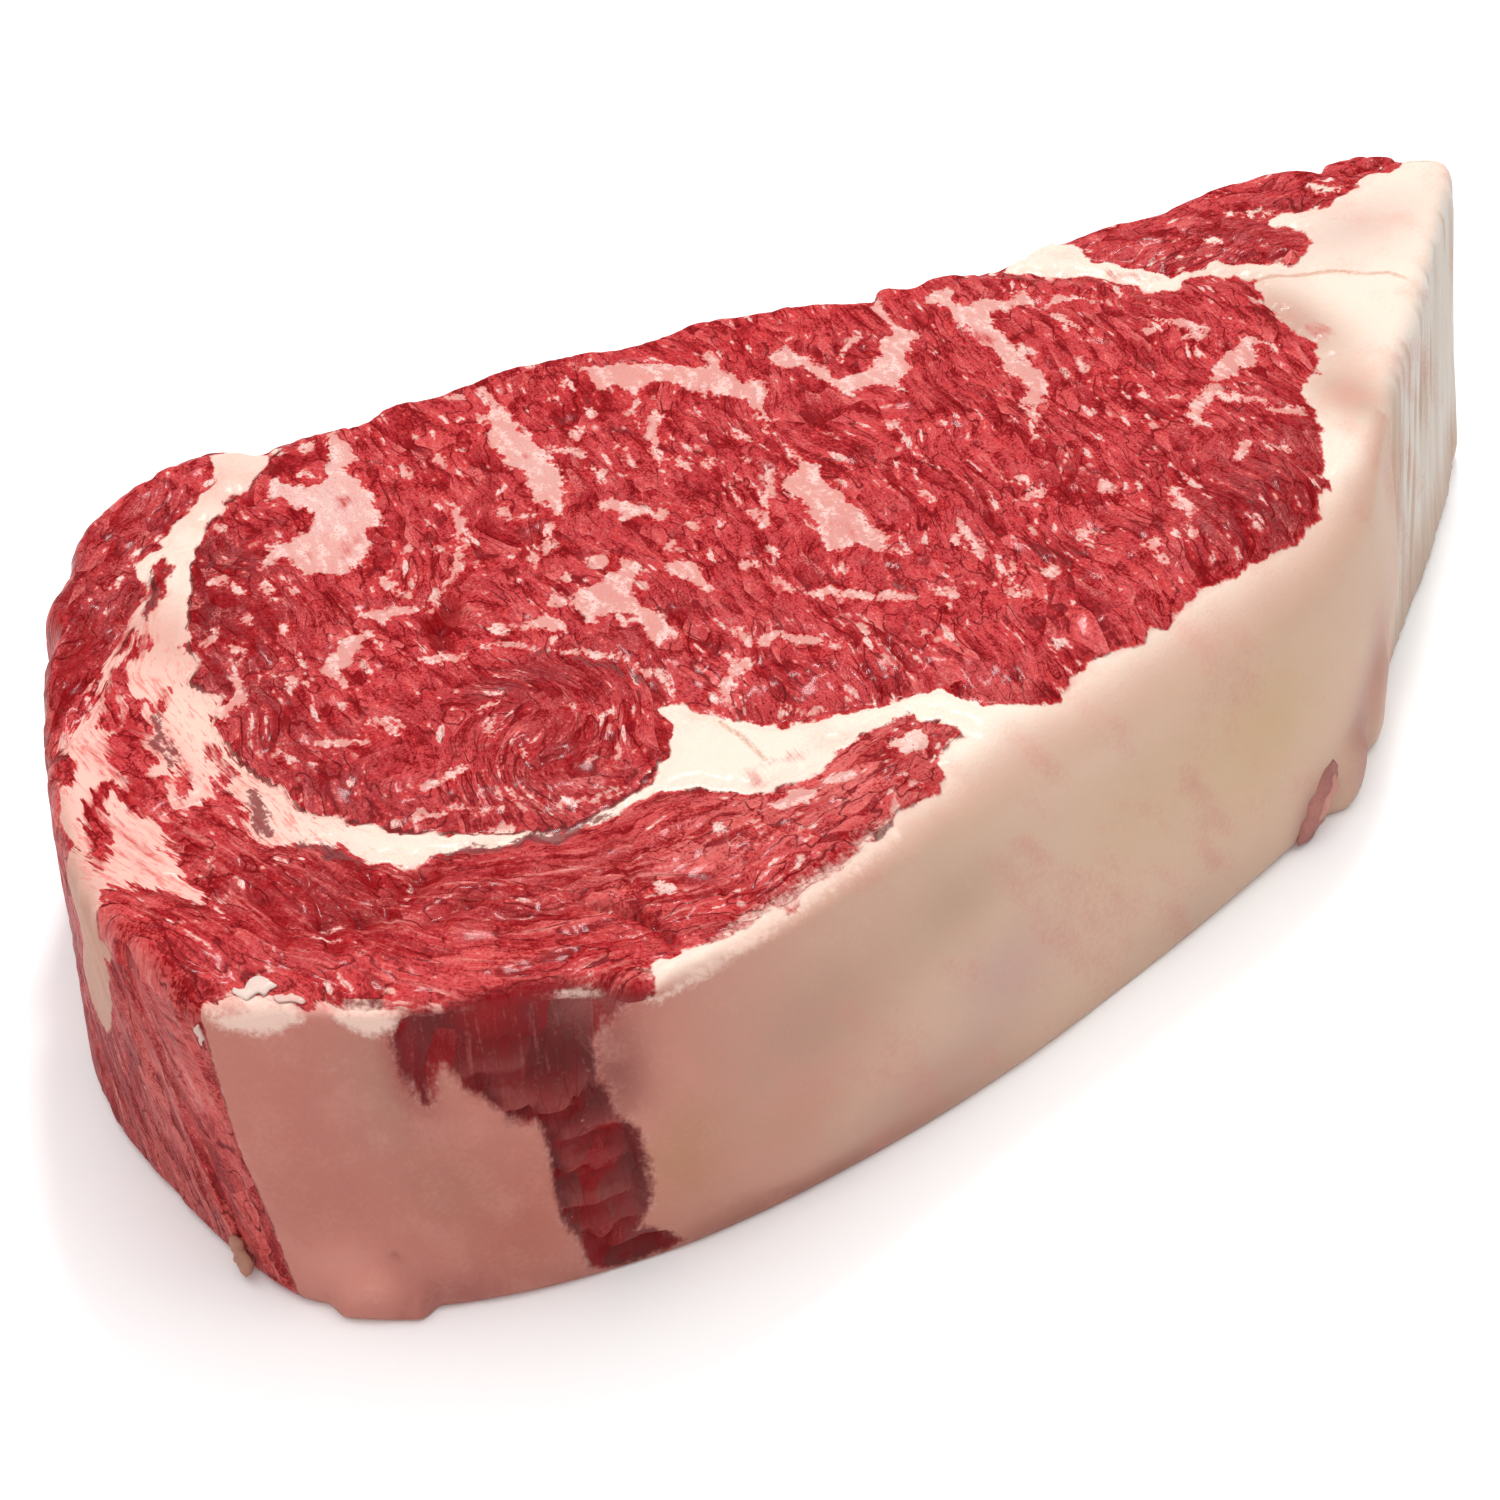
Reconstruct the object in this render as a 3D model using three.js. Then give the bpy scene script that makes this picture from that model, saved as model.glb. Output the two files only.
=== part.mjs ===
// Raw ribeye steak: one thick slice of beef rib, lying on one cut face with the other one up.
// Millimetres, +Z up. +X runs along the steak to its pointed fat corner, -Y faces the fat cap.
// The whole steak is one solid: its muscles, the seams of fat between them and the fat cap
// are grown together, so they are relief and colour on one closed skin.
import * as THREE from "three";

// Driving dimensions: the box that the slice fills, from corner to corner
const LENGTH = 213;
const WIDTH = 110;
const THICKNESS = 40.8;

// Grid of the cut face: cells along the steak and across it, and steps down the wall
const CELLS_ALONG = 84;
const CELLS_ACROSS = 34;
const RIM_STEPS = 3;
const WALL_STEPS = 6;

// Soft edges: the lower edge is rounded where the slice sags onto what it lies on
const FOOT_ROUND = 1.6;
const FAR_FLARE = 1.2;
const FAR_RIM = 1.6;

// Relief: how far muscle swells out of the cut, how deep the seams dip, how rough the skin is
const MUSCLE_SWELL = 0.7;
const SEAM_DIP = 0.6;
const SEAM_HALF_WIDTH = 1.4;
const FIBRE_ROUGHNESS = 0.35;
const FACE_SAG = 0.5;
const WRINKLE_DEPTH = 0.75;
const LEDGE_DEPTH = 1.3;
const STRIPE_DEPTH = 0.45;
const CRAG_DEPTH = 0.9;
const LOBE_SWELL = 1.8;

// Colours of the two tissues and of the dark meat that shows on the wall
const LEAN_RED = new THREE.Color(0xa32a30);
const FAT_CREAM = new THREE.Color(0xecc9b8);
const WALL_FAT = new THREE.Color(0xc89f8c);
const WALL_LEAN = new THREE.Color(0x8c2c34);

// The rim, anticlockwise from above, in four sides that meet at the slice's corners.
// A row holds x and y of the upper edge, x and y of the foot below it, and the edge's radius.
const FAT_SIDE = [
  [-103.5, -29, -99.5, -37, 2.5],
  [-97, -34.5, -95.5, -41.3, 2],
  [-88, -41.3, -89, -46, 1.8],
  [-80, -45.3, -81, -49.6, 1.8],
  [-73, -48.5, -73, -52, 1.8],
  [-66, -53, -62, -54.2, 1.8],
  [-59, -53.2, -52, -55, 2.5],
  [-48, -51.5, -40, -55, 3.5],
  [-37, -49.3, -27, -54.3, 4.5],
  [-25, -46.8, -12, -52.4, 5.5],
  [-11, -44.3, 2, -49.8, 7],
  [10, -41.8, 15, -47, 9],
  [28, -38.6, 29, -43.5, 10],
  [42, -34, 40, -40.5, 9],
  [50, -30.2, 47.5, -36.5, 7],
  [54.5, -27, 54, -32.5, 4],
];
const END_SIDE = [
  [63, -19.8, 63, -25, 2.5],
  [72, -12, 71, -19.3, 2.5],
  [83, -3.4, 81.5, -12, 2.5],
  [93, 5, 91, -4.5, 2],
  [100.4, 11.3, 100, 2.8, 2],
  [105.5, 15.6, 105.2, 8.6, 2],
  [107, 18.6, 106.6, 13.4, 2],
];
const LEFT_SIDE = [
  [-82.5, 42, -82, 43.5, 2],
  [-86.8, 37.6, -87, 39, 2],
  [-87.2, 34.4, -90, 33.5, 2],
  [-91, 29.6, -93.5, 26.5, 2],
  [-94.6, 23, -96, 19.5, 2.5],
  [-97.4, 17.2, -98.8, 12, 3],
  [-100.4, 10.4, -102.2, 4, 3.5],
  [-103.6, 2, -103.6, -6, 4],
  [-105.6, -8, -103.2, -16, 4],
  [-105.6, -18, -102.5, -25.5, 3.5],
];
// On the rib side only the upper edge is seen. Its foot follows it, a little further out.
const FAR_EDGE = [
  [103, 22.4],
  [97.2, 26],
  [92.6, 26.4],
  [91, 25.6],
  [88, 28],
  [76, 30.2],
  [67, 29.8],
  [58, 32.2],
  [51, 33.3],
  [43.5, 32.4],
  [35.5, 34.7],
  [31.2, 34.3],
  [27.8, 36.4],
  [25.4, 34.9],
  [19, 38.8],
  [13.5, 40.7],
  [6, 43.1],
  [-4, 43.6],
  [-11.5, 46.6],
  [-20, 48.3],
  [-29, 48.5],
  [-35.5, 50.1],
  [-39.5, 48.8],
  [-49, 52],
  [-51.5, 51.6],
  [-56, 55],
  [-65, 54.5],
  [-75, 50.2],
];

// Muscles as they show in the upper cut face. Where one reaches the rim, its outline runs past it.
const MUSCLES = {
  eye: [
    [-50, 51],
    [-45, 57],
    [0, 52],
    [41, 34],
    [50, 25.5],
    [57, 16.5],
    [68, 12],
    [65.5, -3],
    [57, -10],
    [50, -22],
    [40, -31.5],
    [20, -33.8],
    [0, -38.8],
    [-11, -35.5],
    [-13, -29.8],
    [-31, -25.3],
    [-40, -15],
    [-46, -25.5],
    [-57, -27.6],
    [-70, -20],
    [-79.5, -10],
    [-81.5, 4],
    [-78.5, 14],
    [-72, 31],
    [-65, 42],
  ],
  upperCap: [
    [-58, 56],
    [-62, 48],
    [-74, 41.5],
    [-80, 32.5],
    [-92, 18.5],
    [-101, 18],
    [-95, 32],
    [-78, 54],
  ],
  lowerCap: [
    [-106, -10],
    [-97, -12],
    [-94, -3],
    [-85.5, -2],
    [-86, -12],
    [-79, -18],
    [-72, -22.5],
    [-60, -28],
    [-48, -28.5],
    [-38, -35],
    [-24, -32.8],
    [-15, -38],
    [-24, -44.3],
    [-40, -48.7],
    [-58, -50.5],
    [-68, -51],
    [-84, -43],
    [-98, -30.5],
    [-107, -24],
  ],
  corner: [
    [54.5, 36],
    [55, 28],
    [60.5, 18.5],
    [70, 15.5],
    [74.5, 11.5],
    [80.5, 16],
    [79, 20],
    [88, 19],
    [104, 23],
    [98, 31],
    [75, 35],
  ],
};

// Creases and torn hollows in the cut face: from x, y to x, y, half width, depth
const CREASES = [
  [-48.5, 13.5, -53.5, 7, 1.5, 2],
  [-77.5, -26.5, -75.5, -25, 2, 2.2],
  [-65, -38.5, -61, -43.5, 1.3, 1.6],
  [-61, -43.5, -59.5, -49, 1.3, 1.6],
  [-88, -26.5, -84, -28.5, 1.8, 1.6],
  [-79, -32, -70, -33, 1.5, 1.3],
  [-72, -36, -67, -39, 1.2, 1.2],
  [-36, -20.5, -40, -8, 1.4, 0.9],
  [-12, -30.5, -36, -23.5, 1.4, 0.7],
];

// Places on the wall: the window of meat under the fat, the lobe of fat beside it at the foot,
// and the two thin flaps that hang out where the cap turns into the end wall
const MEAT_WINDOW = { topX: -78.5, footX: -66, halfTop: 10, halfFoot: 6 };
const FAT_LOBE = { x: -93, halfWidth: 5, height: 9 };
const FLAPS = [
  { x: 44, y: -38, radius: 5, top: 11, out: 1.8 },
  { x: 53.5, y: -32, radius: 3.5, top: 17, out: 0.8 },
];

const clamp01 = (t) => Math.min(1, Math.max(0, t));

// 0 below a, 1 above b, smooth between them
function smoothstep(a, b, t) {
  const k = clamp01((t - a) / (b - a));
  return k * k * (3 - 2 * k);
}

const mix = (a, b, t) => a + (b - a) * t;

// Fixed lattice values, and smooth noise from -1 to 1 between them
function latticeValue(i, j) {
  const s = Math.sin(i * 127.1 + j * 311.7) * 43758.5453;
  return s - Math.floor(s);
}

function noise(x, y) {
  const i = Math.floor(x);
  const j = Math.floor(y);
  const u = smoothstep(0, 1, x - i);
  const v = smoothstep(0, 1, y - j);
  const lower = mix(latticeValue(i, j), latticeValue(i + 1, j), u);
  const upper = mix(latticeValue(i, j + 1), latticeValue(i + 1, j + 1), u);
  return 2 * mix(lower, upper, v) - 1;
}

// Closed smooth outline through the given points
function closedOutline(points, samples) {
  const knots = points.map(([x, y]) => new THREE.Vector3(x, y, 0));
  const curve = new THREE.CatmullRomCurve3(knots, true, "centripetal");
  return curve.getPoints(samples).slice(0, samples);
}

// Distance from a point to the stretch from a to b
function distanceToStretch(x, y, ax, ay, bx, by) {
  const dx = bx - ax;
  const dy = by - ay;
  const t = clamp01(((x - ax) * dx + (y - ay) * dy) / (dx * dx + dy * dy));
  return Math.hypot(x - ax - t * dx, y - ay - t * dy);
}

// How deep a point lies inside an outline: positive inside, negative outside
function depthInside(x, y, outline) {
  let nearest = Infinity;
  let inside = false;
  outline.forEach((a, k) => {
    const b = outline[(k + 1) % outline.length];
    nearest = Math.min(nearest, distanceToStretch(x, y, a.x, a.y, b.x, b.y));
    if (a.y > y !== b.y > y && x < a.x + ((y - a.y) / (b.y - a.y)) * (b.x - a.x)) {
      inside = !inside;
    }
  });
  return inside ? nearest : -nearest;
}

const muscleOutlines = Object.values(MUSCLES).map((points) => closedOutline(points, 4 * points.length));

// Depth inside the nearest muscle, negative in fat
function leanDepth(x, y) {
  return Math.max(...muscleOutlines.map((outline) => depthInside(x, y, outline)));
}

// Height of the cut face over its plane: swollen muscles, dips at their seams, fibre bundles,
// creases, and a soft sag that leaves no face quite flat
function faceRelief(x, y) {
  const depth = leanDepth(x, y);
  const swell = MUSCLE_SWELL * smoothstep(0, 7, depth);
  const seam = SEAM_DIP * Math.exp(-((depth / SEAM_HALF_WIDTH) ** 2));
  const along = 0.5 * x + 0.87 * y;
  const across = 0.87 * x - 0.5 * y;
  const fibres = FIBRE_ROUGHNESS * noise(across / 2.7, along / 9) * smoothstep(0, 2, depth);
  const sag = FACE_SAG * noise(x / 24 + 3, y / 24);
  let creased = 0;
  for (const [ax, ay, bx, by, half, deep] of CREASES) {
    creased += deep * Math.exp(-((distanceToStretch(x, y, ax, ay, bx, by) / half) ** 2));
  }
  return swell - seam + fibres + sag - creased;
}

// The rim's rows, with the rib side's feet worked out from its upper edge
function rimRows() {
  const far = FAR_EDGE.map(([x, y], k) => {
    const before = FAR_EDGE[Math.max(0, k - 1)];
    const after = FAR_EDGE[Math.min(FAR_EDGE.length - 1, k + 1)];
    const turn = Math.hypot(after[0] - before[0], after[1] - before[1]);
    const out = FAR_FLARE * (0.6 + noise(x / 9, 7));
    const footX = x + (out * (after[1] - before[1])) / turn;
    const footY = y - (out * (after[0] - before[0])) / turn;
    return [x, y, footX, footY, FAR_RIM];
  });
  return { fat: FAT_SIDE, end: END_SIDE, far, left: LEFT_SIDE };
}

// Spreads the rows of all four sides over the rim's ring of grid points. Each side runs from
// its own first row to the next side's first row, and is shared out evenly by length.
function rimRing() {
  const sides = rimRows();
  const order = [
    [sides.fat, CELLS_ALONG, "fat"],
    [sides.end, CELLS_ACROSS, "end"],
    [sides.far, CELLS_ALONG, "far"],
    [sides.left, CELLS_ACROSS, "left"],
  ];
  const rows = order.flatMap(([side]) => side);
  const top = new THREE.CatmullRomCurve3(rows.map((r) => new THREE.Vector3(r[0], r[1], r[4])), true, "centripetal");
  const foot = new THREE.CatmullRomCurve3(rows.map((r) => new THREE.Vector3(r[2], r[3], 0)), true, "centripetal");
  const ring = [];
  let firstRow = 0;
  for (const [side, cells, name] of order) {
    const fine = 12 * side.length;
    const lengths = [0];
    let last = top.getPoint(firstRow / rows.length);
    for (let k = 1; k <= fine; k += 1) {
      const next = top.getPoint((firstRow + (k / fine) * side.length) / rows.length);
      lengths.push(lengths[k - 1] + Math.hypot(next.x - last.x, next.y - last.y));
      last = next;
    }
    let k = 0;
    for (let cell = 0; cell < cells; cell += 1) {
      const wanted = (cell / cells) * lengths[fine];
      while (k < fine - 1 && lengths[k + 1] < wanted) {
        k += 1;
      }
      const part = (wanted - lengths[k]) / (lengths[k + 1] - lengths[k]);
      const at = (firstRow + ((k + part) / fine) * side.length) / rows.length;
      ring.push({ edge: top.getPoint(at), foot: foot.getPoint(at), side: name, run: wanted });
    }
    firstRow += side.length;
  }
  ring.forEach((post, k) => {
    const before = ring[(k + ring.length - 2) % ring.length].edge;
    const after = ring[(k + 2) % ring.length].edge;
    const turn = Math.hypot(after.x - before.x, after.y - before.y);
    post.outX = (after.y - before.y) / turn;
    post.outY = (before.x - after.x) / turn;
  });
  return ring;
}

// How far the wall stands out of its smooth form at a post of the ring and a height
function wallRelief(post, x, y, z) {
  const up = z / THICKNESS;
  const edgeFade = smoothstep(0, 0.08, up) * (1 - 0.7 * smoothstep(0.9, 1, up));
  let relief = 0;
  if (post.side === "end") {
    const run = post.run + 1.4 * Math.sin(z / 9);
    relief += WRINKLE_DEPTH * noise(run / 2.2, z / 30) * edgeFade;
  }
  if (post.side === "far") {
    relief += CRAG_DEPTH * noise(post.run / 3.4, z / 16) * edgeFade;
  }
  if (post.side === "left") {
    relief += STRIPE_DEPTH * noise((post.run + 0.2 * z) / 1.8, z / 34) * edgeFade;
  }
  if (post.side === "fat") {
    relief += 0.5 * noise(x / 15, z / 13) * edgeFade;
    const centre = mix(MEAT_WINDOW.footX, MEAT_WINDOW.topX, up);
    const half = mix(MEAT_WINDOW.halfFoot, MEAT_WINDOW.halfTop, up);
    const inWindow = 1 - smoothstep(0.8, 1.1, Math.abs(x - centre) / half);
    const step = z / 6.5 + 0.35 * Math.sin(x / 2.5);
    relief += inWindow * edgeFade * LEDGE_DEPTH * (step - Math.floor(step) - 0.8);
    const lobe = Math.hypot((x - FAT_LOBE.x) / FAT_LOBE.halfWidth, z / FAT_LOBE.height);
    relief += LOBE_SWELL * (1 - smoothstep(0.6, 1, lobe));
  }
  for (const flap of FLAPS) {
    const near = 1 - smoothstep(0.3, 1, Math.hypot(x - flap.x, y - flap.y) / flap.radius);
    relief += flap.out * near * (1 - smoothstep(0.7, 1, z / flap.top));
  }
  return relief;
}

// One point of the wall: step 0 is the rim of the cut face, the last step the rim of the base
function wallPoint(post, step) {
  const radius = post.edge.z;
  const wallBottom = RIM_STEPS + WALL_STEPS;
  const top = THICKNESS;
  let z;
  let inset;
  if (step <= RIM_STEPS) {
    const turn = (Math.PI / 2) * (step / RIM_STEPS);
    z = top - radius * (1 - Math.cos(turn));
    inset = radius * (1 - Math.sin(turn));
  } else if (step < wallBottom) {
    z = mix(top - radius, FOOT_ROUND, (step - RIM_STEPS) / WALL_STEPS);
    inset = 0;
  } else {
    z = step === wallBottom ? FOOT_ROUND * 0.4 : 0;
    inset = step === wallBottom ? FOOT_ROUND * 0.2 : FOOT_ROUND;
  }
  const up = z / top;
  const belly = post.side === "fat" ? 1.2 * Math.sin(Math.PI * up) : 0;
  const x = mix(post.foot.x, post.edge.x, up);
  const y = mix(post.foot.y, post.edge.y, up);
  const out = belly - inset + wallRelief(post, x, y, z);
  const px = x + post.outX * out;
  const py = y + post.outY * out;
  const raised = faceRelief(px, py) * smoothstep(0.6, 1, up);
  return new THREE.Vector3(px, py, z + raised);
}

// The ring as the four sides of a grid, which a Coons patch then fills in
function cutFaceGrid(rim) {
  const count = rim.length;
  const nearSide = (i) => rim[i];
  const endSide = (j) => rim[CELLS_ALONG + j];
  const farSide = (i) => rim[(2 * CELLS_ALONG + CELLS_ACROSS - i) % count];
  const leftSide = (j) => rim[(count - j) % count];
  const grid = [];
  for (let j = 0; j <= CELLS_ACROSS; j += 1) {
    const v = j / CELLS_ACROSS;
    for (let i = 0; i <= CELLS_ALONG; i += 1) {
      const u = i / CELLS_ALONG;
      const blend = (axis) => {
        const alongs = mix(nearSide(i)[axis], farSide(i)[axis], v);
        const acrosses = mix(leftSide(j)[axis], endSide(j)[axis], u);
        const near = mix(nearSide(0)[axis], nearSide(CELLS_ALONG)[axis], u);
        const far = mix(farSide(0)[axis], farSide(CELLS_ALONG)[axis], u);
        return alongs + acrosses - mix(near, far, v);
      };
      const x = blend("x");
      const y = blend("y");
      grid.push(new THREE.Vector3(x, y, THICKNESS + faceRelief(x, y)));
    }
  }
  return grid;
}

// Position in the ring of a grid point on the face's edge, or -1 for one inside it
function ringIndex(i, j) {
  if (j === 0) {
    return i;
  }
  if (i === CELLS_ALONG) {
    return CELLS_ALONG + j;
  }
  if (j === CELLS_ACROSS) {
    return 2 * CELLS_ALONG + CELLS_ACROSS - i;
  }
  return i === 0 ? 2 * (CELLS_ALONG + CELLS_ACROSS) - j : -1;
}

// Colour of the skin at a point: what is lean and what is fat on the cut face and on the wall
function tissueColour(point, side) {
  const colour = new THREE.Color();
  if (!side) {
    const lean = smoothstep(-0.6, 0.6, leanDepth(point.x, point.y));
    return colour.lerpColors(FAT_CREAM, LEAN_RED, lean);
  }
  const up = point.z / THICKNESS;
  const centre = mix(MEAT_WINDOW.footX, MEAT_WINDOW.topX, up);
  const half = mix(MEAT_WINDOW.halfFoot, MEAT_WINDOW.halfTop, up);
  const windowed = side === "fat" && Math.abs(point.x - centre) < half;
  const endFat = side === "end";
  const lean = windowed || side === "far" || side === "left";
  return colour.copy(lean && !endFat ? WALL_LEAN : WALL_FAT);
}

// Joins face, wall and base into one closed skin
function steakGeometry() {
  const ring = rimRing();
  const count = ring.length;
  const lastStep = RIM_STEPS + WALL_STEPS + 1;
  const points = [];
  const colours = [];
  const faces = [];
  const keep = (point, side) => {
    points.push(point);
    colours.push(tissueColour(point, side));
    return points.length - 1;
  };
  const rows = [];
  for (let step = 0; step <= lastStep; step += 1) {
    rows.push(ring.map((post) => keep(wallPoint(post, step), step === 0 ? "" : post.side)));
  }
  for (let step = 0; step < lastStep; step += 1) {
    for (let k = 0; k < count; k += 1) {
      const next = (k + 1) % count;
      faces.push(rows[step][k], rows[step + 1][k], rows[step + 1][next]);
      faces.push(rows[step][k], rows[step + 1][next], rows[step][next]);
    }
  }

  const rim = rows[0].map((index) => points[index]);
  const wide = CELLS_ALONG + 1;
  const indices = cutFaceGrid(rim).map((point, k) => {
    const at = ringIndex(k % wide, Math.floor(k / wide));
    return at < 0 ? keep(point, "") : rows[0][at];
  });
  for (let j = 0; j < CELLS_ACROSS; j += 1) {
    for (let i = 0; i < CELLS_ALONG; i += 1) {
      const a = indices[j * wide + i];
      const b = indices[j * wide + i + 1];
      const c = indices[(j + 1) * wide + i + 1];
      const d = indices[(j + 1) * wide + i];
      faces.push(a, b, c, a, c, d);
    }
  }

  const base = rows[lastStep];
  const flat = base.map((index) => new THREE.Vector2(points[index].x, points[index].y));
  for (const [a, b, c] of THREE.ShapeUtils.triangulateShape(flat, [])) {
    faces.push(base[a], base[c], base[b]);
  }

  const geometry = new THREE.BufferGeometry();
  geometry.setAttribute("position", new THREE.Float32BufferAttribute(points.flatMap((p) => p.toArray()), 3));
  geometry.setAttribute("color", new THREE.Float32BufferAttribute(colours.flatMap((c) => c.toArray()), 3));
  geometry.setIndex(faces);
  return geometry;
}

// Brings the skin to the driving box, with its origin under the middle of the box
function fitToBox(geometry) {
  geometry.computeBoundingBox();
  const box = geometry.boundingBox;
  const size = box.getSize(new THREE.Vector3());
  const centre = box.getCenter(new THREE.Vector3());
  geometry.translate(-centre.x, -centre.y, -box.min.z);
  geometry.scale(LENGTH / size.x, WIDTH / size.y, THICKNESS / size.z);
  geometry.computeVertexNormals();
  return geometry;
}

const meat = new THREE.MeshStandardMaterial({
  color: 0xffffff,
  vertexColors: true,
  roughness: 0.42,
  metalness: 0,
});
const steak = new THREE.Mesh(fitToBox(steakGeometry()), meat);
steak.name = "ribeye_steak";

const part = new THREE.Group();
part.add(steak);

export default part;
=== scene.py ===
import math

import bpy
import numpy as np
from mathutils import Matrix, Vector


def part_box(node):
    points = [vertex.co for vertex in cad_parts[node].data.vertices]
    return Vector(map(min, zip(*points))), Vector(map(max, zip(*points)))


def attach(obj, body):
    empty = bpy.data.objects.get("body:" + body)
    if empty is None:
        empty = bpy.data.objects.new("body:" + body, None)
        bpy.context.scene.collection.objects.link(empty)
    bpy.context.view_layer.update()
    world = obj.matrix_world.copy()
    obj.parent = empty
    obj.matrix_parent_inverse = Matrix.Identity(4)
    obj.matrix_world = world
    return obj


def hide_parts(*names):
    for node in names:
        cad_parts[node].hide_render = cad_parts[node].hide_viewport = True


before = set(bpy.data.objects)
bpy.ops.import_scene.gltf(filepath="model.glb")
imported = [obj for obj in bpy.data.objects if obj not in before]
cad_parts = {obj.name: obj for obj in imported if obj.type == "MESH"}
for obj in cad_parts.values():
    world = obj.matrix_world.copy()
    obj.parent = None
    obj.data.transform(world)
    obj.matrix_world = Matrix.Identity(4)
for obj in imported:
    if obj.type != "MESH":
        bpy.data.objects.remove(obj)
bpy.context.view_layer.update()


# The table and the light
# A plain pale table, and the soft light of a studio: a wide softbox overhead, a small lamp high
# behind the steak whose light glints in the wet meat, a weak one in front, and a dim surround.
TABLE_SIZE = 6.0
TABLE_WHITE = (1.0, 1.0, 1.0, 1.0)
TABLE_ROUGHNESS = 0.9
SOFTBOX = {"place": (0.0, 0.1, 1.25), "size": 1.8, "watts": 20.5}
BACK_LAMP = {"place": (0.34, 0.49, 1.04), "size": 0.16, "watts": 6.0}
FRONT_LAMP = {"place": (-0.75, -0.85, 0.75), "size": 0.8, "watts": 4.5}
SURROUND = 0.22


def add_lamp(name, place, size, watts):
    """A square lamp of the given size that faces the steak's middle."""
    lamp = bpy.data.lights.new(name, "AREA")
    lamp.size = size
    lamp.energy = watts
    holder = bpy.data.objects.new(name, lamp)
    holder.location = place
    away = math.hypot(place[0], place[1])
    holder.rotation_euler = (math.atan2(away, place[2]), 0, math.atan2(place[0], -place[1]))
    bpy.context.scene.collection.objects.link(holder)


add_lamp("softbox", **SOFTBOX)
add_lamp("back_lamp", **BACK_LAMP)
add_lamp("front_lamp", **FRONT_LAMP)
surround = bpy.data.worlds.new("surround")
surround.use_nodes = True
sky = surround.node_tree.nodes["Background"]
sky.inputs["Color"].default_value = TABLE_WHITE
sky.inputs["Strength"].default_value = SURROUND
bpy.context.scene.world = surround
bpy.context.scene.view_settings.view_transform = "Standard"

half = TABLE_SIZE / 2
table_mesh = bpy.data.meshes.new("table")
table_corners = [(-half, -half, 0), (half, -half, 0), (half, half, 0), (-half, half, 0)]
table_mesh.from_pydata(table_corners, [], [(0, 1, 2, 3)])
table = bpy.data.objects.new("table", table_mesh)
bpy.context.scene.collection.objects.link(table)
table_finish = bpy.data.materials.new("pale_table")
table_finish.use_nodes = True
table_shader = table_finish.node_tree.nodes["Principled BSDF"]
table_shader.inputs["Base Color"].default_value = TABLE_WHITE
table_shader.inputs["Roughness"].default_value = TABLE_ROUGHNESS
table_mesh.materials.append(table_finish)


# The camera
# It looks down on the steak from its front left, past the corner where the fat cap begins.
CAMERA_LENS = 93.6
CAMERA_SENSOR = 36.0
CAMERA_TURN = math.radians(-35)
CAMERA_HEIGHT = math.radians(40)
CAMERA_AWAY = 0.443
CAMERA_TARGET = (-0.0255, -0.012, 0.023)

back = (
    math.sin(CAMERA_TURN) * math.cos(CAMERA_HEIGHT),
    -math.cos(CAMERA_TURN) * math.cos(CAMERA_HEIGHT),
    math.sin(CAMERA_HEIGHT),
)
lens = bpy.data.cameras.new("camera")
lens.lens = CAMERA_LENS
lens.sensor_width = CAMERA_SENSOR
camera = bpy.data.objects.new("camera", lens)
camera.location = [t + CAMERA_AWAY * b for t, b in zip(CAMERA_TARGET, back)]
camera.rotation_euler = (math.pi / 2 - CAMERA_HEIGHT, 0, CAMERA_TURN)
bpy.context.scene.collection.objects.link(camera)
bpy.context.scene.camera = camera


# The slice's outline
# The knife cut the slice square across the loin, so one rim runs round it: past the fat cap,
# the end of fat, the rib side with its torn edge, and the narrow side that the ribs left.
THICKNESS = 40.8
CELLS_ALONG = 360
CELLS_ACROSS = 144
FAR_RIM = 1.6
FAR_FLARE = 0.72
# Here and below, waves are given as their depth and width, and their height if that differs
FAR_WAVES = (1.2, 9.0)
# The rim's direction is read over so many posts, and its length in so many steps to each row
POSTS_FOR_NORMAL = 9
STEPS_FOR_LENGTH = 12

# A row holds x and y of the upper edge, x and y of the foot below it, and the edge's radius
FAT_SIDE = [
    (-103.5, -29, -99.5, -37, 2.5), (-97, -34.5, -95.5, -41.3, 2), (-88, -41.3, -89, -46, 1.8),
    (-80, -45.3, -81, -49.6, 1.8), (-73, -48.5, -73, -52, 1.8), (-66, -53, -62, -54.2, 1.8),
    (-59, -53.2, -52, -55, 2.5), (-48, -51.5, -40, -55, 3.5), (-37, -49.3, -27, -54.3, 4.5),
    (-25, -46.8, -12, -52.4, 5.5), (-11, -44.3, 2, -49.8, 7), (10, -41.8, 15, -47, 9),
    (28, -38.6, 29, -43.5, 10), (42, -34, 40, -40.5, 9), (50, -30.2, 47.5, -36.5, 7),
    (54.5, -27, 54, -32.5, 4),
]
END_SIDE = [
    (63, -19.8, 63, -25, 2.5), (72, -12, 71, -19.3, 2.5), (83, -3.4, 81.5, -12, 2.5),
    (93, 5, 91, -4.5, 2), (100.4, 11.3, 100, 2.8, 2), (105.5, 15.6, 105.2, 8.6, 2),
    (107, 18.6, 106.6, 13.4, 2),
]
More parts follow.
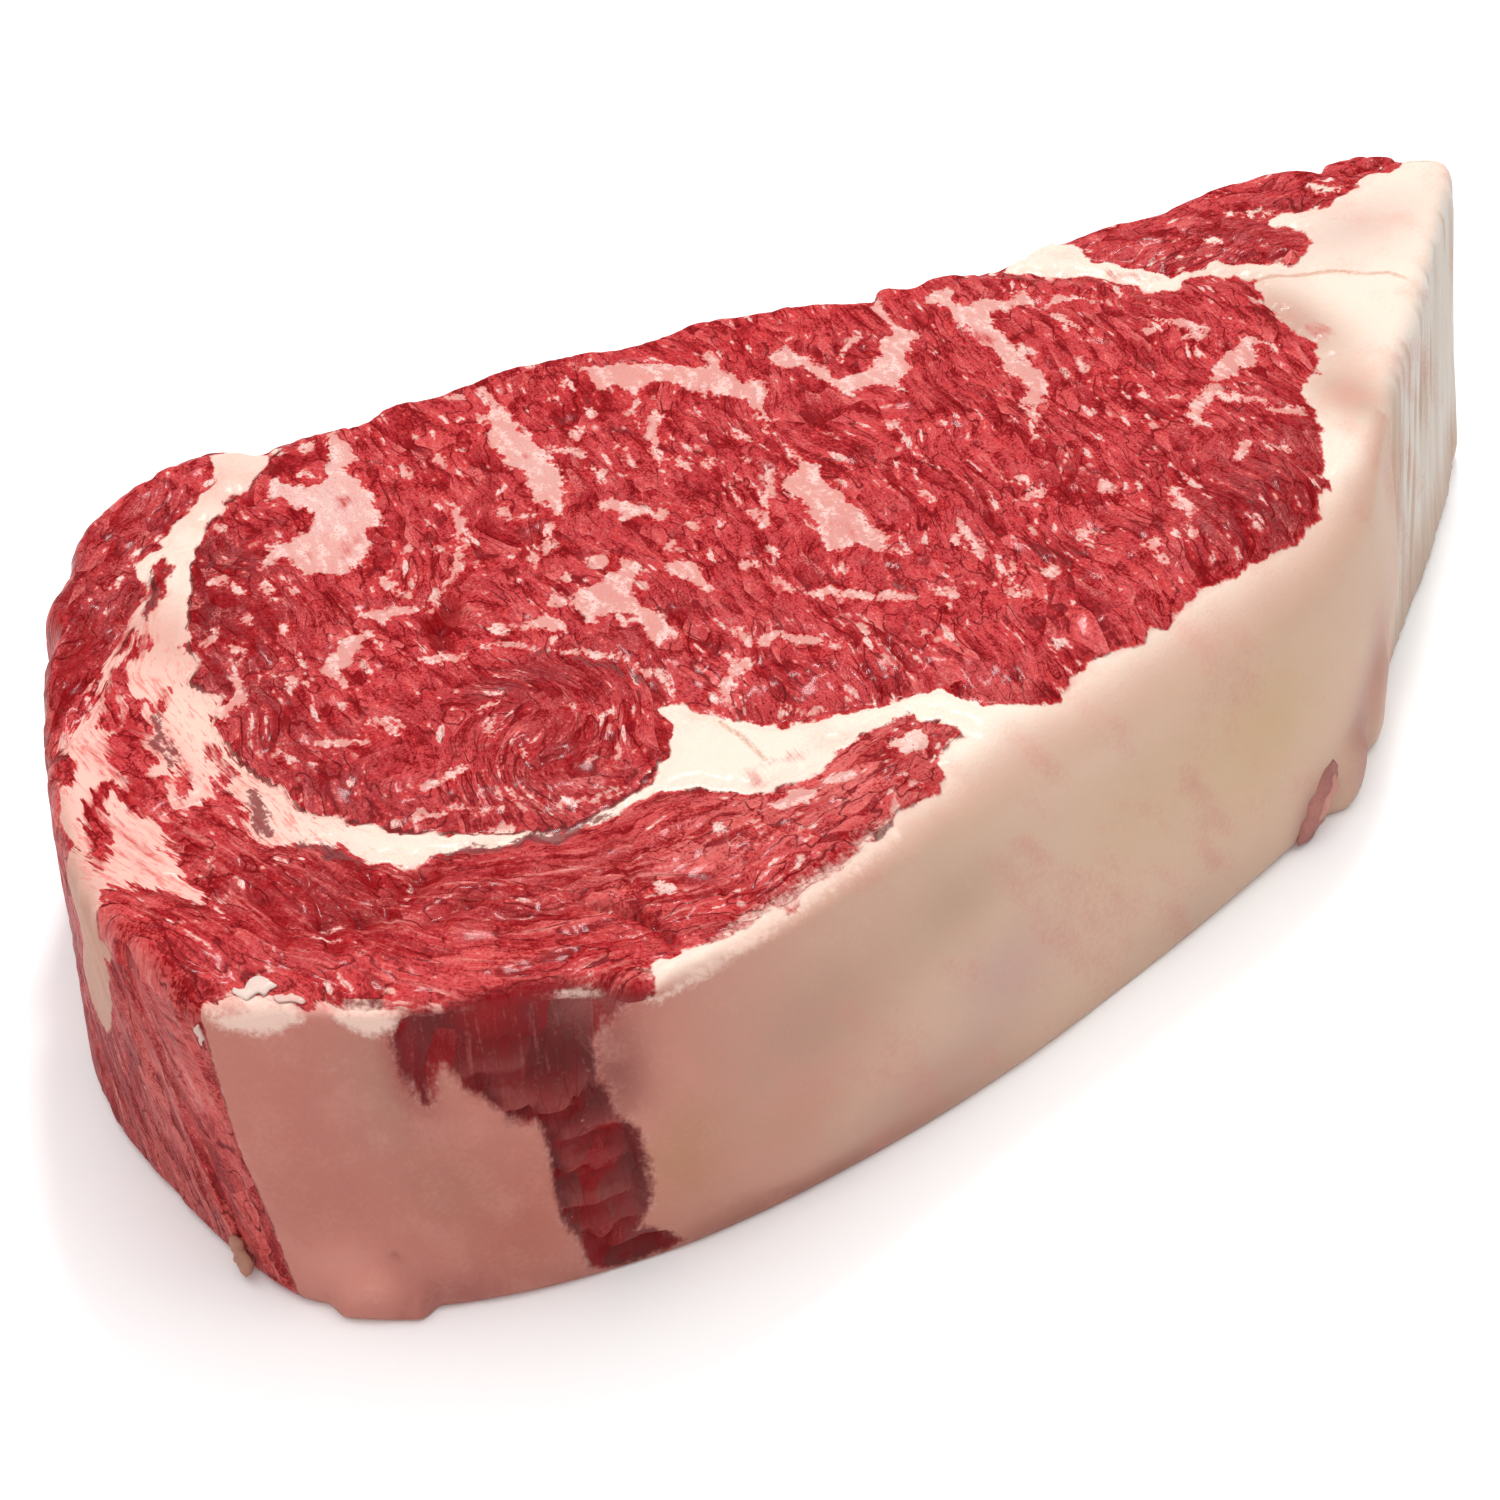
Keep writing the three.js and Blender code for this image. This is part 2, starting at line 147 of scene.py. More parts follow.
LEFT_SIDE = [
    (-82.5, 42, -82, 43.5, 2), (-86.8, 37.6, -87, 39, 2), (-87.2, 34.4, -90, 33.5, 2),
    (-91, 29.6, -93.5, 26.5, 2), (-94.6, 23, -96, 19.5, 2.5), (-97.4, 17.2, -98.8, 12, 3),
    (-100.4, 10.4, -102.2, 4, 3.5), (-103.6, 2, -103.6, -6, 4), (-105.6, -8, -103.2, -16, 4),
    (-105.6, -18, -102.5, -25.5, 3.5),
]
FAR_EDGE = [
    (103, 22.4), (97.2, 26), (92.6, 26.4), (91, 25.6), (88, 28), (76, 30.2), (67, 29.8),
    (58, 32.2), (51, 33.3), (43.5, 32.4), (35.5, 34.7), (31.2, 34.3), (27.8, 36.4), (25.4, 34.9),
    (19, 38.8), (13.5, 40.7), (6, 43.1), (-4, 43.6), (-11.5, 46.6), (-20, 48.3), (-29, 48.5),
    (-35.5, 50.1), (-39.5, 48.8), (-49, 52), (-51.5, 51.6), (-56, 55), (-65, 54.5), (-75, 50.2),
]
FAT, END, FAR, LEFT = range(4)


def smoothstep(low, high, t):
    """0 below low, 1 above high, and 3k^2 - 2k^3 between them."""
    k = np.clip((t - low) / (high - low), 0, 1)
    return k * k * (3 - 2 * k)


def lattice(i, j):
    """A fixed number from 0 to 1 for each pair of whole numbers."""
    s = np.sin(i * 127.1 + j * 311.7) * 43758.5453
    return s - np.floor(s)


def noise(x, y):
    """Smooth noise from -1 to 1: fixed values at whole x and y, blended by smoothstep between."""
    i, j = np.floor(x), np.floor(y)
    u, v = smoothstep(0, 1, x - i), smoothstep(0, 1, y - j)
    lower = lattice(i, j) * (1 - u) + lattice(i + 1, j) * u
    upper = lattice(i, j + 1) * (1 - u) + lattice(i + 1, j + 1) * u
    return 2 * (lower * (1 - v) + upper * v) - 1


def waves(x, y, depth, wide, tall=None, moved=(0, 0)):
    """Noise from -depth to depth with waves about wide by tall, all in millimetres, and as tall as
    wide where tall isn't given. moved shifts the noise, so that like waves don't fall together."""
    return depth * noise(x / wide + moved[0], y / (tall or wide) + moved[1])


def closed_curve(rows, at):
    """Centripetal Catmull-Rom curve through a closed run of rows. at counts rows, and each
    stretch is the cubic whose end slopes come from gaps as the root of the rows' distances."""
    first = np.floor(at).astype(int)
    w = (at - first)[:, None]
    p0, p1, p2, p3 = (rows[(first + k) % len(rows)] for k in (-1, 0, 1, 2))
    gaps = ((p0, p1), (p1, p2), (p2, p3))
    g0, g1, g2 = (np.sqrt(np.linalg.norm(b - a, axis=1))[:, None] for a, b in gaps)
    m1 = ((p1 - p0) / g0 - (p2 - p0) / (g0 + g1) + (p2 - p1) / g1) * g1
    m2 = ((p2 - p1) / g1 - (p3 - p1) / (g1 + g2) + (p3 - p2) / g2) * g1
    return p1 + w * m1 + w**2 * (3 * (p2 - p1) - 2 * m1 - m2) + w**3 * (2 * (p1 - p2) + m1 + m2)


def run_along(line):
    """Length run from a line's first point to each of its points."""
    return np.concatenate([[0], np.cumsum(np.linalg.norm(np.diff(line, axis=0), axis=1))])


def far_rows():
    """The rib side's rows: only its upper edge is seen, so each foot stands out from it, square
    to the edge, by FAR_FLARE and waves along the edge."""
    edge = np.array(FAR_EDGE, float)
    turn = np.vstack([edge[1:], edge[-1:]]) - np.vstack([edge[:1], edge[:-1]])
    turn /= np.linalg.norm(turn, axis=1)[:, None]
    out = FAR_FLARE + waves(edge[:, 0], 0 * edge[:, 0], *FAR_WAVES, moved=(0, 7))
    foot = edge + out[:, None] * np.column_stack([turn[:, 1], -turn[:, 0]])
    return np.column_stack([edge, foot, np.full(len(edge), FAR_RIM)])


def rim_ring():
    """The rim as a ring of posts, one for each grid point on the cut face's edge. Each side runs
    from its own first row to the next side's first row, shared out evenly by length."""
    fat, end, left = (np.array(side, float) for side in (FAT_SIDE, END_SIDE, LEFT_SIDE))
    sides = [fat, end, far_rows(), left]
    rows = np.vstack(sides)
    upper = rows[:, [0, 1, 4]]
    lower = np.column_stack([rows[:, 2:4], np.zeros(len(rows))])
    at, run, kind = [], [], []
    start = 0
    for side, cells in enumerate((CELLS_ALONG, CELLS_ACROSS, CELLS_ALONG, CELLS_ACROSS)):
        rows_here = len(sides[side])
        fine = start + np.linspace(0, rows_here, STEPS_FOR_LENGTH * rows_here + 1)
        lengths = run_along(closed_curve(upper, fine)[:, :2])
        wanted = np.arange(cells) / cells * lengths[-1]
        at.append(np.interp(wanted, lengths, fine))
        run.append(wanted)
        kind.append(np.full(cells, side))
        start += rows_here
    at = np.concatenate(at)
    edge, foot = closed_curve(upper, at), closed_curve(lower, at)
    turn = np.roll(edge, -POSTS_FOR_NORMAL, 0) - np.roll(edge, POSTS_FOR_NORMAL, 0)
    long = np.hypot(turn[:, 0], turn[:, 1])
    return {
        "edge": edge[:, :2],
        "radius": edge[:, 2],
        "foot": foot[:, :2],
        "run": np.concatenate(run),
        "round": run_along(edge[:, :2]),
        "side": np.concatenate(kind),
        "out": np.column_stack([turn[:, 1] / long, -turn[:, 0] / long]),
    }


ring = rim_ring()


# The muscles and the fat between them
# The cut face shows the eye of the rib, the cap muscle that wraps round it, and two trimmed
# strips. Seams of fat part them, and veins of fat run into the eye from its upper edge.
# Depths are worked out this far round an outline, and creases for so many half widths
FIELD_REACH = 6.0
CREASE_REACH = 3

EYE = [
    (-50, 50.4), (-55.8, 46.7), (-60, 44.8), (-64.6, 41.7), (-66.7, 39.2), (-69.4, 36.2),
    (-70.4, 33.3), (-73.7, 28.5), (-76.2, 24.2), (-78, 18.8), (-79.8, 17.3), (-78, 13),
    (-81.2, 9.6), (-81.5, 5), (-81.2, 0.8), (-80.4, -3.3), (-80, -9), (-76.5, -13), (-72, -18.5),
    (-70, -20), (-65, -23.5), (-61, -26.5), (-57, -27.6), (-51.7, -27), (-47.5, -25.6),
    (-45, -23.8), (-42.5, -22.5), (-40.4, -19.6), (-40, -16), (-38, -15.5), (-36, -20),
    (-34.6, -22), (-32.5, -24), (-30, -25.8), (-25.8, -27.5), (-22, -28.8), (-16, -29.4),
    (-12.5, -30), (-11.9, -33), (-10.4, -36.2), (-7, -38), (-2, -39.2), (3.5, -36.5),
    (10, -36.8), (15, -35.8), (22, -33.5), (35, -32.2), (40, -31.5), (43, -30), (47.5, -26),
    (51, -21), (54.6, -17), (55.8, -14), (56.7, -11), (58.3, -8.8), (60.8, -8.8), (63.8, -6.2),
    (64.8, -4.2), (64.8, 0.4), (65.4, 2.9), (66, 6.7), (67.3, 9.2), (68, 11.3), (65.8, 12.9),
    (62, 16.5), (58, 15.5), (56, 17.5), (54, 21.5), (50, 25.5), (45, 29.5), (41, 33), (36, 42),
    (10, 50), (-10, 54), (-30, 56), (-46, 58),
]
UPPER_CAP = [
    (-57, 53.5), (-60, 49), (-64, 47), (-68.3, 43.8), (-70.8, 42), (-74.2, 40.8), (-75.4, 35.4),
    (-79.2, 31.7), (-83, 28.3), (-86.7, 24.6), (-90, 20.4), (-92.5, 18), (-96, 16.5),
    (-103, 15), (-103, 24), (-95, 36), (-80, 54), (-60, 60),
]
LOWER_CAP = [
    (-110, -5), (-101, -9), (-97, -12), (-95.5, -18), (-94.5, -5), (-93, -1.5), (-85.5, -1),
    (-85, -5), (-87, -9), (-85.5, -12), (-82, -14), (-79.5, -16.5), (-79, -20), (-74.5, -22.8),
    (-70, -23.5), (-66, -25.5), (-61, -27.5), (-55, -29), (-48.3, -28), (-45.4, -29.6),
    (-42, -32), (-39.6, -34.2), (-35.4, -35), (-30, -34.6), (-27.5, -32.9), (-17.9, -32),
    (-17.5, -34.6), (-14.8, -37), (-15.2, -38.5), (-20, -40), (-20.8, -43.3), (-24, -44.2),
    (-30, -45), (-35, -47), (-40, -48.7), (-47, -50), (-55, -50.5), (-63, -50), (-66, -54),
    (-70, -55), (-77, -50.5), (-84, -43), (-88, -40), (-90, -38.5), (-94, -35.5), (-97, -31.5),
    (-99, -29.5), (-110, -27),
]
CORNER_STRIP = [
    (54.6, 32.5), (54.6, 27), (56.2, 25.4), (57.9, 22.5), (60.2, 18), (66.7, 17.3), (68.3, 15.8),
    (71.7, 13.3), (73.3, 13.3), (73.8, 10.8), (75, 10.8), (77, 12), (79.6, 13.8), (80.6, 15),
    (79.2, 17.5), (78.3, 19.2), (78.8, 20.8), (80.8, 20.8), (85.8, 18.8), (92, 20.6),
    (96.2, 22), (100.8, 20.6), (106, 24), (98, 34), (75, 38), (54.6, 40),
]
MUSCLES = [EYE, UPPER_CAP, LOWER_CAP, CORNER_STRIP]

# Broad fat inside the muscles, as outlines
FAT_ISLANDS = [
    [(-44.6, 49.6), (-42.5, 48.8), (-43.3, 45.8), (-43.8, 42.5), (-46, 41.7), (-45.6, 39),
     (-46.2, 37), (-45.6, 35.4), (-47, 33.3), (-46.9, 30.8), (-47.5, 29.4), (-50, 30),
     (-50.4, 27.9), (-52.5, 25.8), (-55.4, 23.5), (-57.9, 24.6), (-59.8, 25.8), (-60, 29.2),
     (-61.2, 30.4), (-64.2, 29.6), (-62, 32.3), (-60, 33.5), (-56.2, 33.1), (-52.9, 36),
     (-54.6, 38.3), (-55, 40.4), (-56.2, 42), (-54.2, 44.6), (-52.9, 45), (-52.9, 43),
     (-51.7, 40.4), (-48.8, 41.7), (-46.7, 43.8), (-45.4, 45.4), (-45, 48.3)],
    [(-12.9, 42.9), (-10, 41.7), (-6.7, 39.6), (-3.3, 37.1), (0, 34.2), (3.3, 36.7), (2.1, 33.3),
     (2.5, 29.2), (4.6, 28.3), (4.2, 27), (2, 25), (0.8, 23.3), (0.4, 22), (-0.4, 19.6),
     (-1.2, 15.4), (-0.8, 9.2), (-0.8, 7.9), (-1.9, 5), (-1.5, 2.5), (-1.7, -2.5), (-1.9, -6.7),
     (-2.9, -9), (-4.6, -8.3), (-5.8, -5.8), (-8.3, -5.8), (-8.8, -3.8), (-7.9, -0.4),
     (-6.7, 1.2), (-5.8, 4.2), (-6.7, 8.3), (-5, 9.6), (-2.9, 10), (-2, 12.5), (-1.8, 16),
     (-1, 22), (0, 26.7), (-2.5, 29.6), (-3.3, 28.3), (-4.6, 31.7), (-5.8, 34.6), (-8.8, 34.6),
     (-8.8, 32), (-10, 35.8), (-11.2, 37.1), (-13.3, 37), (-12.9, 40)],
    [(-39.6, 7), (-40.8, 5), (-38.3, 3.3), (-37.9, 1.7), (-38.3, -1.2), (-36.7, 0), (-35.4, 0),
     (-34.6, -1.7), (-34.2, -5.4), (-34.6, -9.2), (-31.7, -7), (-30.8, -5.8), (-31.7, -3.3),
     (-32.5, -0.8), (-31.7, 1.7), (-30, 3.8), (-28.3, 5), (-29.2, 8.8), (-30, 6.7),
     (-32.5, 5.8), (-35.8, 5), (-38.3, 4.8)],
    [(-25.8, 4.2), (-22.9, 2.9), (-23.3, -0.8), (-23.8, -4.2), (-25, -2.9), (-26.2, 0.4)],
    [(7, 29.2), (8.3, 31.7), (10.8, 32.5), (11.2, 29.2), (12, 25.8), (12, 22.5), (16.7, 22.3),
     (18.3, 23.3), (20, 25.4), (22.5, 27), (23.8, 29.2), (24.2, 32), (25.4, 34.6), (26.2, 33.8),
     (25, 30.4), (24.6, 27), (25.4, 23.3), (23.8, 23.8), (22, 21.7), (20, 19.2), (18.3, 18.3),
     (16.5, 15.4), (15.8, 17.9), (14.6, 19), (11, 17.9), (10.8, 21.7), (10.2, 25.4), (10, 27.9),
     (8.8, 27.5)],
    [(30.4, 30.4), (31.7, 31.5), (34.2, 31.2), (34.6, 29.6), (33.8, 28.8), (34.2, 26.7),
     (37.5, 26.2), (38.3, 24.6), (40, 24.6), (42, 27), (41.7, 23.8), (40.8, 21.7), (39.6, 22.5),
     (35, 23.3), (34.6, 20), (34.2, 16.7), (32.9, 12.9), (34.2, 12), (32.5, 10.4), (33.8, 9.6),
     (31.7, 6.7), (30, 4.6), (29.2, 2.7), (27.9, 4.6), (27, 5.4), (28.8, 7.5), (29.6, 9.6),
     (30, 12.5), (28.8, 12), (30.4, 15.8), (30.8, 20), (31, 24.2), (32, 27.5), (31.7, 29.2)],
]

# Veins of fat: each point of a vein's middle line holds x, y and half its width there
FAT_VEINS = [
    [(-24.7, 45.5, 0.6), (-25, 41, 0.7), (-27, 37, 2), (-27.5, 32, 2.4), (-27.5, 27, 2.2),
     (-29.5, 22, 1.6), (-29.8, 19.5, 0.8)],
    [(-24, 30, 0.6), (-22, 28, 0.6)],
    [(-29.2, 47, 0.6), (-27.9, 46.2, 0.6)],
    [(-10, 29.6, 0.8), (-11.2, 27.9, 0.8), (-13.3, 25.8, 0.7), (-14.6, 22.5, 0.6), (-15.4, 19.2, 0.4)],
    [(-10, 33.8, 0.4), (-12.9, 31.7, 0.4), (-13.3, 28.3, 0.4)],
    [(-39.2, 28.8, 0.5), (-40.4, 25, 0.6), (-42.5, 21.2, 0.6), (-44.6, 18.3, 0.6), (-46.7, 15.8, 0.6),
     (-50, 14.6, 0.5), (-52, 12.5, 0.5)],
    [(-25.5, 17.5, 0.9), (-24, 15.5, 1.5), (-22.5, 13, 0.9)],
    [(-5, 12, 0.5), (-8, 8.5, 0.7), (-10.8, 5.4, 0.7), (-12.5, 3, 0.5)],
    [(-59, 16.5, 0.8), (-56, 15, 1.2), (-53, 13.5, 0.8)],
    [(-60, 12.9, 0.8), (-63, 11.5, 1.2), (-66, 9.5, 1), (-65.8, 6.7, 0.6)],
    [(-73.3, 13.3, 0.5), (-70.8, 11.2, 0.6), (-69.6, 8.8, 0.5)],
    [(-79.2, 11.2, 0.9), (-76.7, 11.7, 0.8), (-75.4, 15, 0.6)],
    [(-53.3, 20.4, 0.6), (-52.5, 16.7, 0.5)],
    [(-56.7, 5, 0.6), (-53.3, 2.9, 0.9)],
    [(-74.2, 0, 0.5), (-70.8, -2.1, 0.7), (-69.2, -3.3, 0.5)],
    [(-68, -0.8, 0.5), (-64.8, -1.5, 0.5), (-66, -3.6, 0.5)],
    [(-45, 4.2, 0.6), (-42.5, 2.5, 1.2), (-41.7, 0.8, 0.8)],
    [(-47, 5.5, 0.9), (-45.5, 5.2, 0.6)],
    [(-25.4, -10, 0.6), (-26.2, -13.3, 0.6)],
    [(-30, -13.8, 0.7), (-28.8, -15.8, 1), (-31.2, -17.9, 0.8), (-33.3, -19.6, 0.6)],
    [(-17.5, -5.5, 0.6), (-17, -8.7, 0.7)],
    [(-15.8, -10, 0.6), (-13.3, -11.2, 0.8), (-10.8, -13.5, 0.9), (-9.2, -14.2, 0.7),
     (-6.7, -16.7, 0.6)],
    [(-25, -13.8, 0.6), (-21.7, -14.6, 0.9), (-20, -16.7, 0.8), (-18.3, -19.2, 0.6)],
    [(-3.3, -17, 0.5), (-1.7, -18.3, 0.6), (-2, -19.6, 0.5)],
    [(-30, -24.6, 0.4), (-26.7, -25.4, 0.5), (-25, -26.3, 0.4)],
    [(14.2, 25.4, 0.4), (15.8, 27, 0.5), (17.9, 28.3, 0.5), (19.6, 30, 0.4)],
    [(26.7, 4.2, 0.6), (25, 0.8, 0.5), (23.3, -1.2, 0.4)],
    [(42.9, 21.2, 0.6), (45, 21.9, 0.7), (46.7, 20.4, 0.6), (47.5, 17.9, 0.5)],
    [(42.5, 18.3, 0.7), (42.5, 14.2, 0.6)],
    [(51.5, 10, 0.7), (54, 8, 0.9), (55, 6, 0.6)],
    [(35.4, 8, 0.5), (34.6, 5, 0.5)],
    [(38.8, 9.6, 0.5), (37.9, 6.7, 0.5)],
    [(50, -3, 1), (53, -2.5, 1.6), (56, -1, 1.5), (58, 0.8, 0.8), (60, -2.5, 0.7)],
    [(47, -5, 0.9), (43.8, -7, 1.1), (41.7, -9, 0.7)],
    [(47, -5.8, 0.6), (49.2, -8.8, 0.6), (51.2, -10, 0.5)],
    [(50.8, -12, 0.7), (53.8, -13.8, 0.7)],
    [(40.8, -17.5, 0.6), (44.2, -16.2, 0.8)],
    [(46.2, -17.9, 0.5), (47.9, -20, 0.5)],
    [(6.5, -9, 0.6), (5.5, -12, 0.7), (4.6, -15, 0.6)],
    [(-38, -37.5, 1.6), (-35, -37, 1.2)],
    [(-32, -37, 1.4), (-29, -37.5, 1)],
    [(-22, -37, 1.3), (-19, -36.5, 1.2)],
    [(69.6, 19.6, 0.4), (68.3, 21.3, 0.5)],
    [(-61.5, -18.6, 0.3), (-60.6, -20.4, 0.6), (-59.4, -21.9, 0.3)],
    [(-47.4, -13.4, 0.3), (-48.8, -11.3, 0.5)],
    [(-49.5, -21.6, 0.5), (-47.3, -19.5, 0.3)],
    [(-56.5, -13.5, 0.5), (-56.9, -16.2, 0.4)],
    [(-53, -5.5, 0.3), (-56.4, -6.1, 0.5)],
    [(-58, -24.2, 0.5), (-54.4, -25.4, 0.6), (-51, -25.6, 0.3)],
    [(-56.5, -9.4, 0.5), (-58.4, -11, 0.3)],
    [(-70.5, -16.5, 0.4), (-67, -18.5, 0.6), (-63.5, -20.5, 0.4)],
    [(-66.5, -22, 0.4), (-63.5, -23.6, 0.5)],
    [(-70, -12.4, 0.4), (-66.4, -13.8, 0.6), (-63, -13.6, 0.4)],
    [(-50.5, 3.4, 0.4), (-47.4, 1.4, 0.5), (-44, -2.2, 0.3)],
    [(-43.4, -2.8, 0.4), (-40.4, -5.8, 0.6), (-39, -8, 0.3)],
    [(-38.4, -9.4, 0.3), (-37.6, -11.6, 0.5), (-37.2, -14.6, 0.3)],
]

# Grains of fat that lie alone in the eye: x, y, half the width across the grain, half along it
FAT_GRAINS = [
    (-62.9, 40.8, 0.7, 1), (-68.8, 30.8, 0.9, 1), (-67.9, 27.9, 0.8, 1), (-64.6, 26.2, 0.8, 1.8),
    (-69.4, 22.5, 0.9, 0.9), (-72.9, 18.8, 0.8, 1), (-72.9, 23.3, 0.7, 1), (-74.8, 21.7, 0.7, 1),
    (-62.5, 23.8, 0.7, 1), (-66.2, 18.3, 1, 0.8), (-68.3, 3.8, 0.9, 0.8), (-77.9, 1.7, 0.8, 1),
    (-47.5, 24.2, 0.7, 1.1), (-45.2, 21.7, 0.8, 1), (-53, 19.2, 1, 1), (-50.4, 43.3, 0.6, 1),
    (-47.3, 48.3, 0.6, 1), (-40.8, 36.7, 0.7, 1.3), (-36, 36.2, 0.7, 1.2), (-27.3, 40.2, 0.6, 1),
    (-15.8, 41.2, 0.7, 1.4), (-20.2, 31.2, 0.7, 1.4), (-16.2, 34.2, 0.7, 1.2),
    (-22.5, 23.3, 0.8, 1.6), (-18, 22.9, 0.8, 1.3), (-17.5, 25.8, 0.7, 1.2), (-13, 19.2, 0.7, 1.3),
    (-11, 17.5, 0.7, 1.2), (-20.8, 11.7, 1.2, 1.8), (-32.5, 17.5, 1, 1.2), (-34.6, 14.6, 1, 1.2),
    (-37, 13.8, 0.8, 1.2), (-35, 23, 0.8, 1.4), (-4.6, 20, 0.7, 1.3), (-6.7, 15.4, 0.7, 1.3),
    (-43.3, 16.7, 0.8, 1), (-36.2, 8.8, 1, 1), (-31.7, 8.8, 0.9, 1.2), (-19.2, 8, 0.9, 1.2),
    (-23.3, 6.2, 0.8, 1.3), (-12.5, 6.2, 0.8, 1.2), (-18.3, -1.7, 0.9, 1.3), (-14.2, -1.2, 0.8, 1.2),
    (29.2, -22, 0.9, 2.3), (27.5, -25.8, 0.8, 1.4), (30.4, -19, 0.8, 1.5), (24.6, -13.3, 1.2, 1.3),
    (16.7, -10, 2, 0.9), (17.5, -7, 0.8, 1.2), (4.2, -11.2, 0.8, 1.1), (6.7, -19.2, 0.9, 1.2),
    (9.6, -22, 1.3, 1.3), (16.7, -19.2, 0.9, 1.3), (21.7, -25, 0.9, 1.3), (20.8, -27.5, 0.8, 1.2),
    (19.2, -31.2, 0.8, 1.4), (6.2, -2.9, 0.8, 1.3), (42.9, -4, 0.8, 1), (4, -23, 0.8, 1.2),
    (11.7, 11.2, 0.8, 1.4), (53.3, 5, 0.9, 0.9), (49, 9, 0.9, 0.9), (-21.7, -26.2, 0.6, 0.7),
    (-9.2, -22.5, 0.6, 0.7), (-10, -8, 0.6, 0.8), (-2, -10, 0.6, 0.9), (77.5, 22.5, 2.2, 0.5),
    (89.2, 22, 1.8, 0.5),
]

# Meat and blood that streak the fat: x, y, half width
RED_STREAKS = [
    [(-71.7, 37.9, 0.5), (-74.6, 35, 0.7), (-77.1, 31, 0.5)],
    [(-80.8, 28.8, 0.6), (-83.3, 26.2, 0.6)],
    [(-80, 26.7, 0.4), (-82.9, 23.8, 0.5)],
    [(-85, 23.3, 0.7), (-88, 19, 1.3), (-90, 15.8, 1)],
    [(-86.7, 16.7, 0.8), (-88.5, 14, 1.6), (-90.5, 11.5, 1.9), (-92, 6, 2), (-93, 1, 1.9)],
    [(-82.9, 17.1, 0.5), (-84.6, 14.6, 0.6)],
    [(-87.5, 4.2, 0.6), (-89.2, 1.2, 0.7)],
    [(-83.3, 6, 0.5), (-84, 1, 0.6)],
    [(-95.6, 6.7, 0.7), (-99.6, 0.8, 1), (-102, -4, 0.9)],
    [(-96.7, 14.6, 0.5), (-98.3, 10, 0.7)],
    [(-49.6, 36, 0.8), (-49.6, 35.2, 0.9)],
    [(-57.9, 29, 0.4), (-57.9, 28.6, 0.4)],
    [(-55.4, 26.7, 0.3), (-51.7, 29.2, 0.5)],
    [(-27.5, 31.4, 0.4), (-27.5, 30.8, 0.4)],
    [(-5.4, -1.5, 0.4), (-5.4, -3.8, 0.6)],
    [(30.8, 20.6, 0.7), (31.4, 19.4, 0.9), (31.7, 18.2, 0.7)],
    [(-38, -31.6, 0.5), (-38, -32.6, 0.7)],
    [(-36.5, -31, 0.35), (-31, -32, 0.3)],
    [(54, 23.3, 0.35), (56, 21, 0.4), (58.3, 18.3, 0.35)],
    [(67, -1, 0.5), (67.2, -3.4, 0.5)],
]

# Grey and purple bits of sinew on the seams: x, y, half width
SINEWS = [
    [(-85.4, 13.8, 0.6), (-87.3, 10, 0.9), (-87.5, 5.8, 0.6)],
    [(-83, -3, 0.7), (-84.4, -6.5, 1), (-85.5, -10, 0.7)],
    [(-82.5, -13.5, 0.8), (-81, -16.5, 1), (-80, -19, 0.6)],
    [(-72, -23.2, 0.5), (-67, -25, 0.9), (-61, -27.3, 0.7), (-53, -28.6, 0.5)],
    [(-46.2, -1, 0.4), (-42.5, -6, 0.6), (-39.6, -9.3, 0.6), (-38.7, -13.3, 0.4)],
    [(-74.2, 36.4, 0.4), (-76.6, 32.5, 0.6), (-78, 29.8, 0.4)],
]

# Pale skin that lies along the upper edge of the fat cap
PALE_LINES = [
    [(-64.9, -51.2, 0.2), (-55.1, -50.6, 0.3), (-48, -49.3, 0.2), (-41.5, -48, 0.3),
     (-36.3, -46.7, 0.2), (-30.7, -45, 0.4), (-26.1, -44.4, 0.2), (-20.8, -43, 0.3)],
]

# Creases and torn hollows, the wide ones first: from x, y to x, y, half width, depth
CREASES = [
    (-48.5, 13.5, -53.5, 7, 1.2, 1.5), (-77.5, -26.5, -75.5, -25, 1.6, 1.6),
    (-65, -38.5, -61, -43.5, 0.7, 0.7), (-61, -43.5, -59.5, -49, 0.7, 0.7),
    (-88, -26.5, -84, -28.5, 1.4, 1.0), (-79, -32, -74, -32, 1.1, 0.8),
    (-74, -32, -70, -33, 0.8, 0.6), (-72, -36, -67, -39, 0.8, 0.5),
    (-37.5, -19.5, -40, -8, 0.9, 0.3), (-12, -30.5, -36, -23.5, 1.2, 0.4),
    (-13.3, -22.5, -13.3, -26.7, 0.7, 0.7), (-63.3, -40.1, -60.7, -43, 0.6, 0.6),
    (-60.7, -43, -59.2, -47.8, 0.6, 0.7), (-59.2, -47.8, -50, -49.6, 0.6, 0.6),
    (-52, -28.4, -58.8, -39.4, 0.5, 0.4), (-60, -12.5, -54, -13.5, 0.6, 0.5),
    (-58, -17.5, -52, -18.5, 0.6, 0.6), (-48.5, -14, -48, -18.5, 0.6, 0.5),
    (-86, -20, -88.5, -31, 0.7, 0.7), (-83, -19, -84.5, -28, 0.6, 0.6),
    (-90, -14, -92.5, -27, 0.7, 0.6), (-80.5, -22, -82, -30, 0.6, 0.6),
    (-52, -35, -40, -36.5, 0.5, 0.4), (-66, -45.5, -48, -46, 0.5, 0.4),
    (-90, 27, -84, 33, 0.9, 0.9), (-95.5, 19.5, -91, 25, 0.8, 0.8),
]


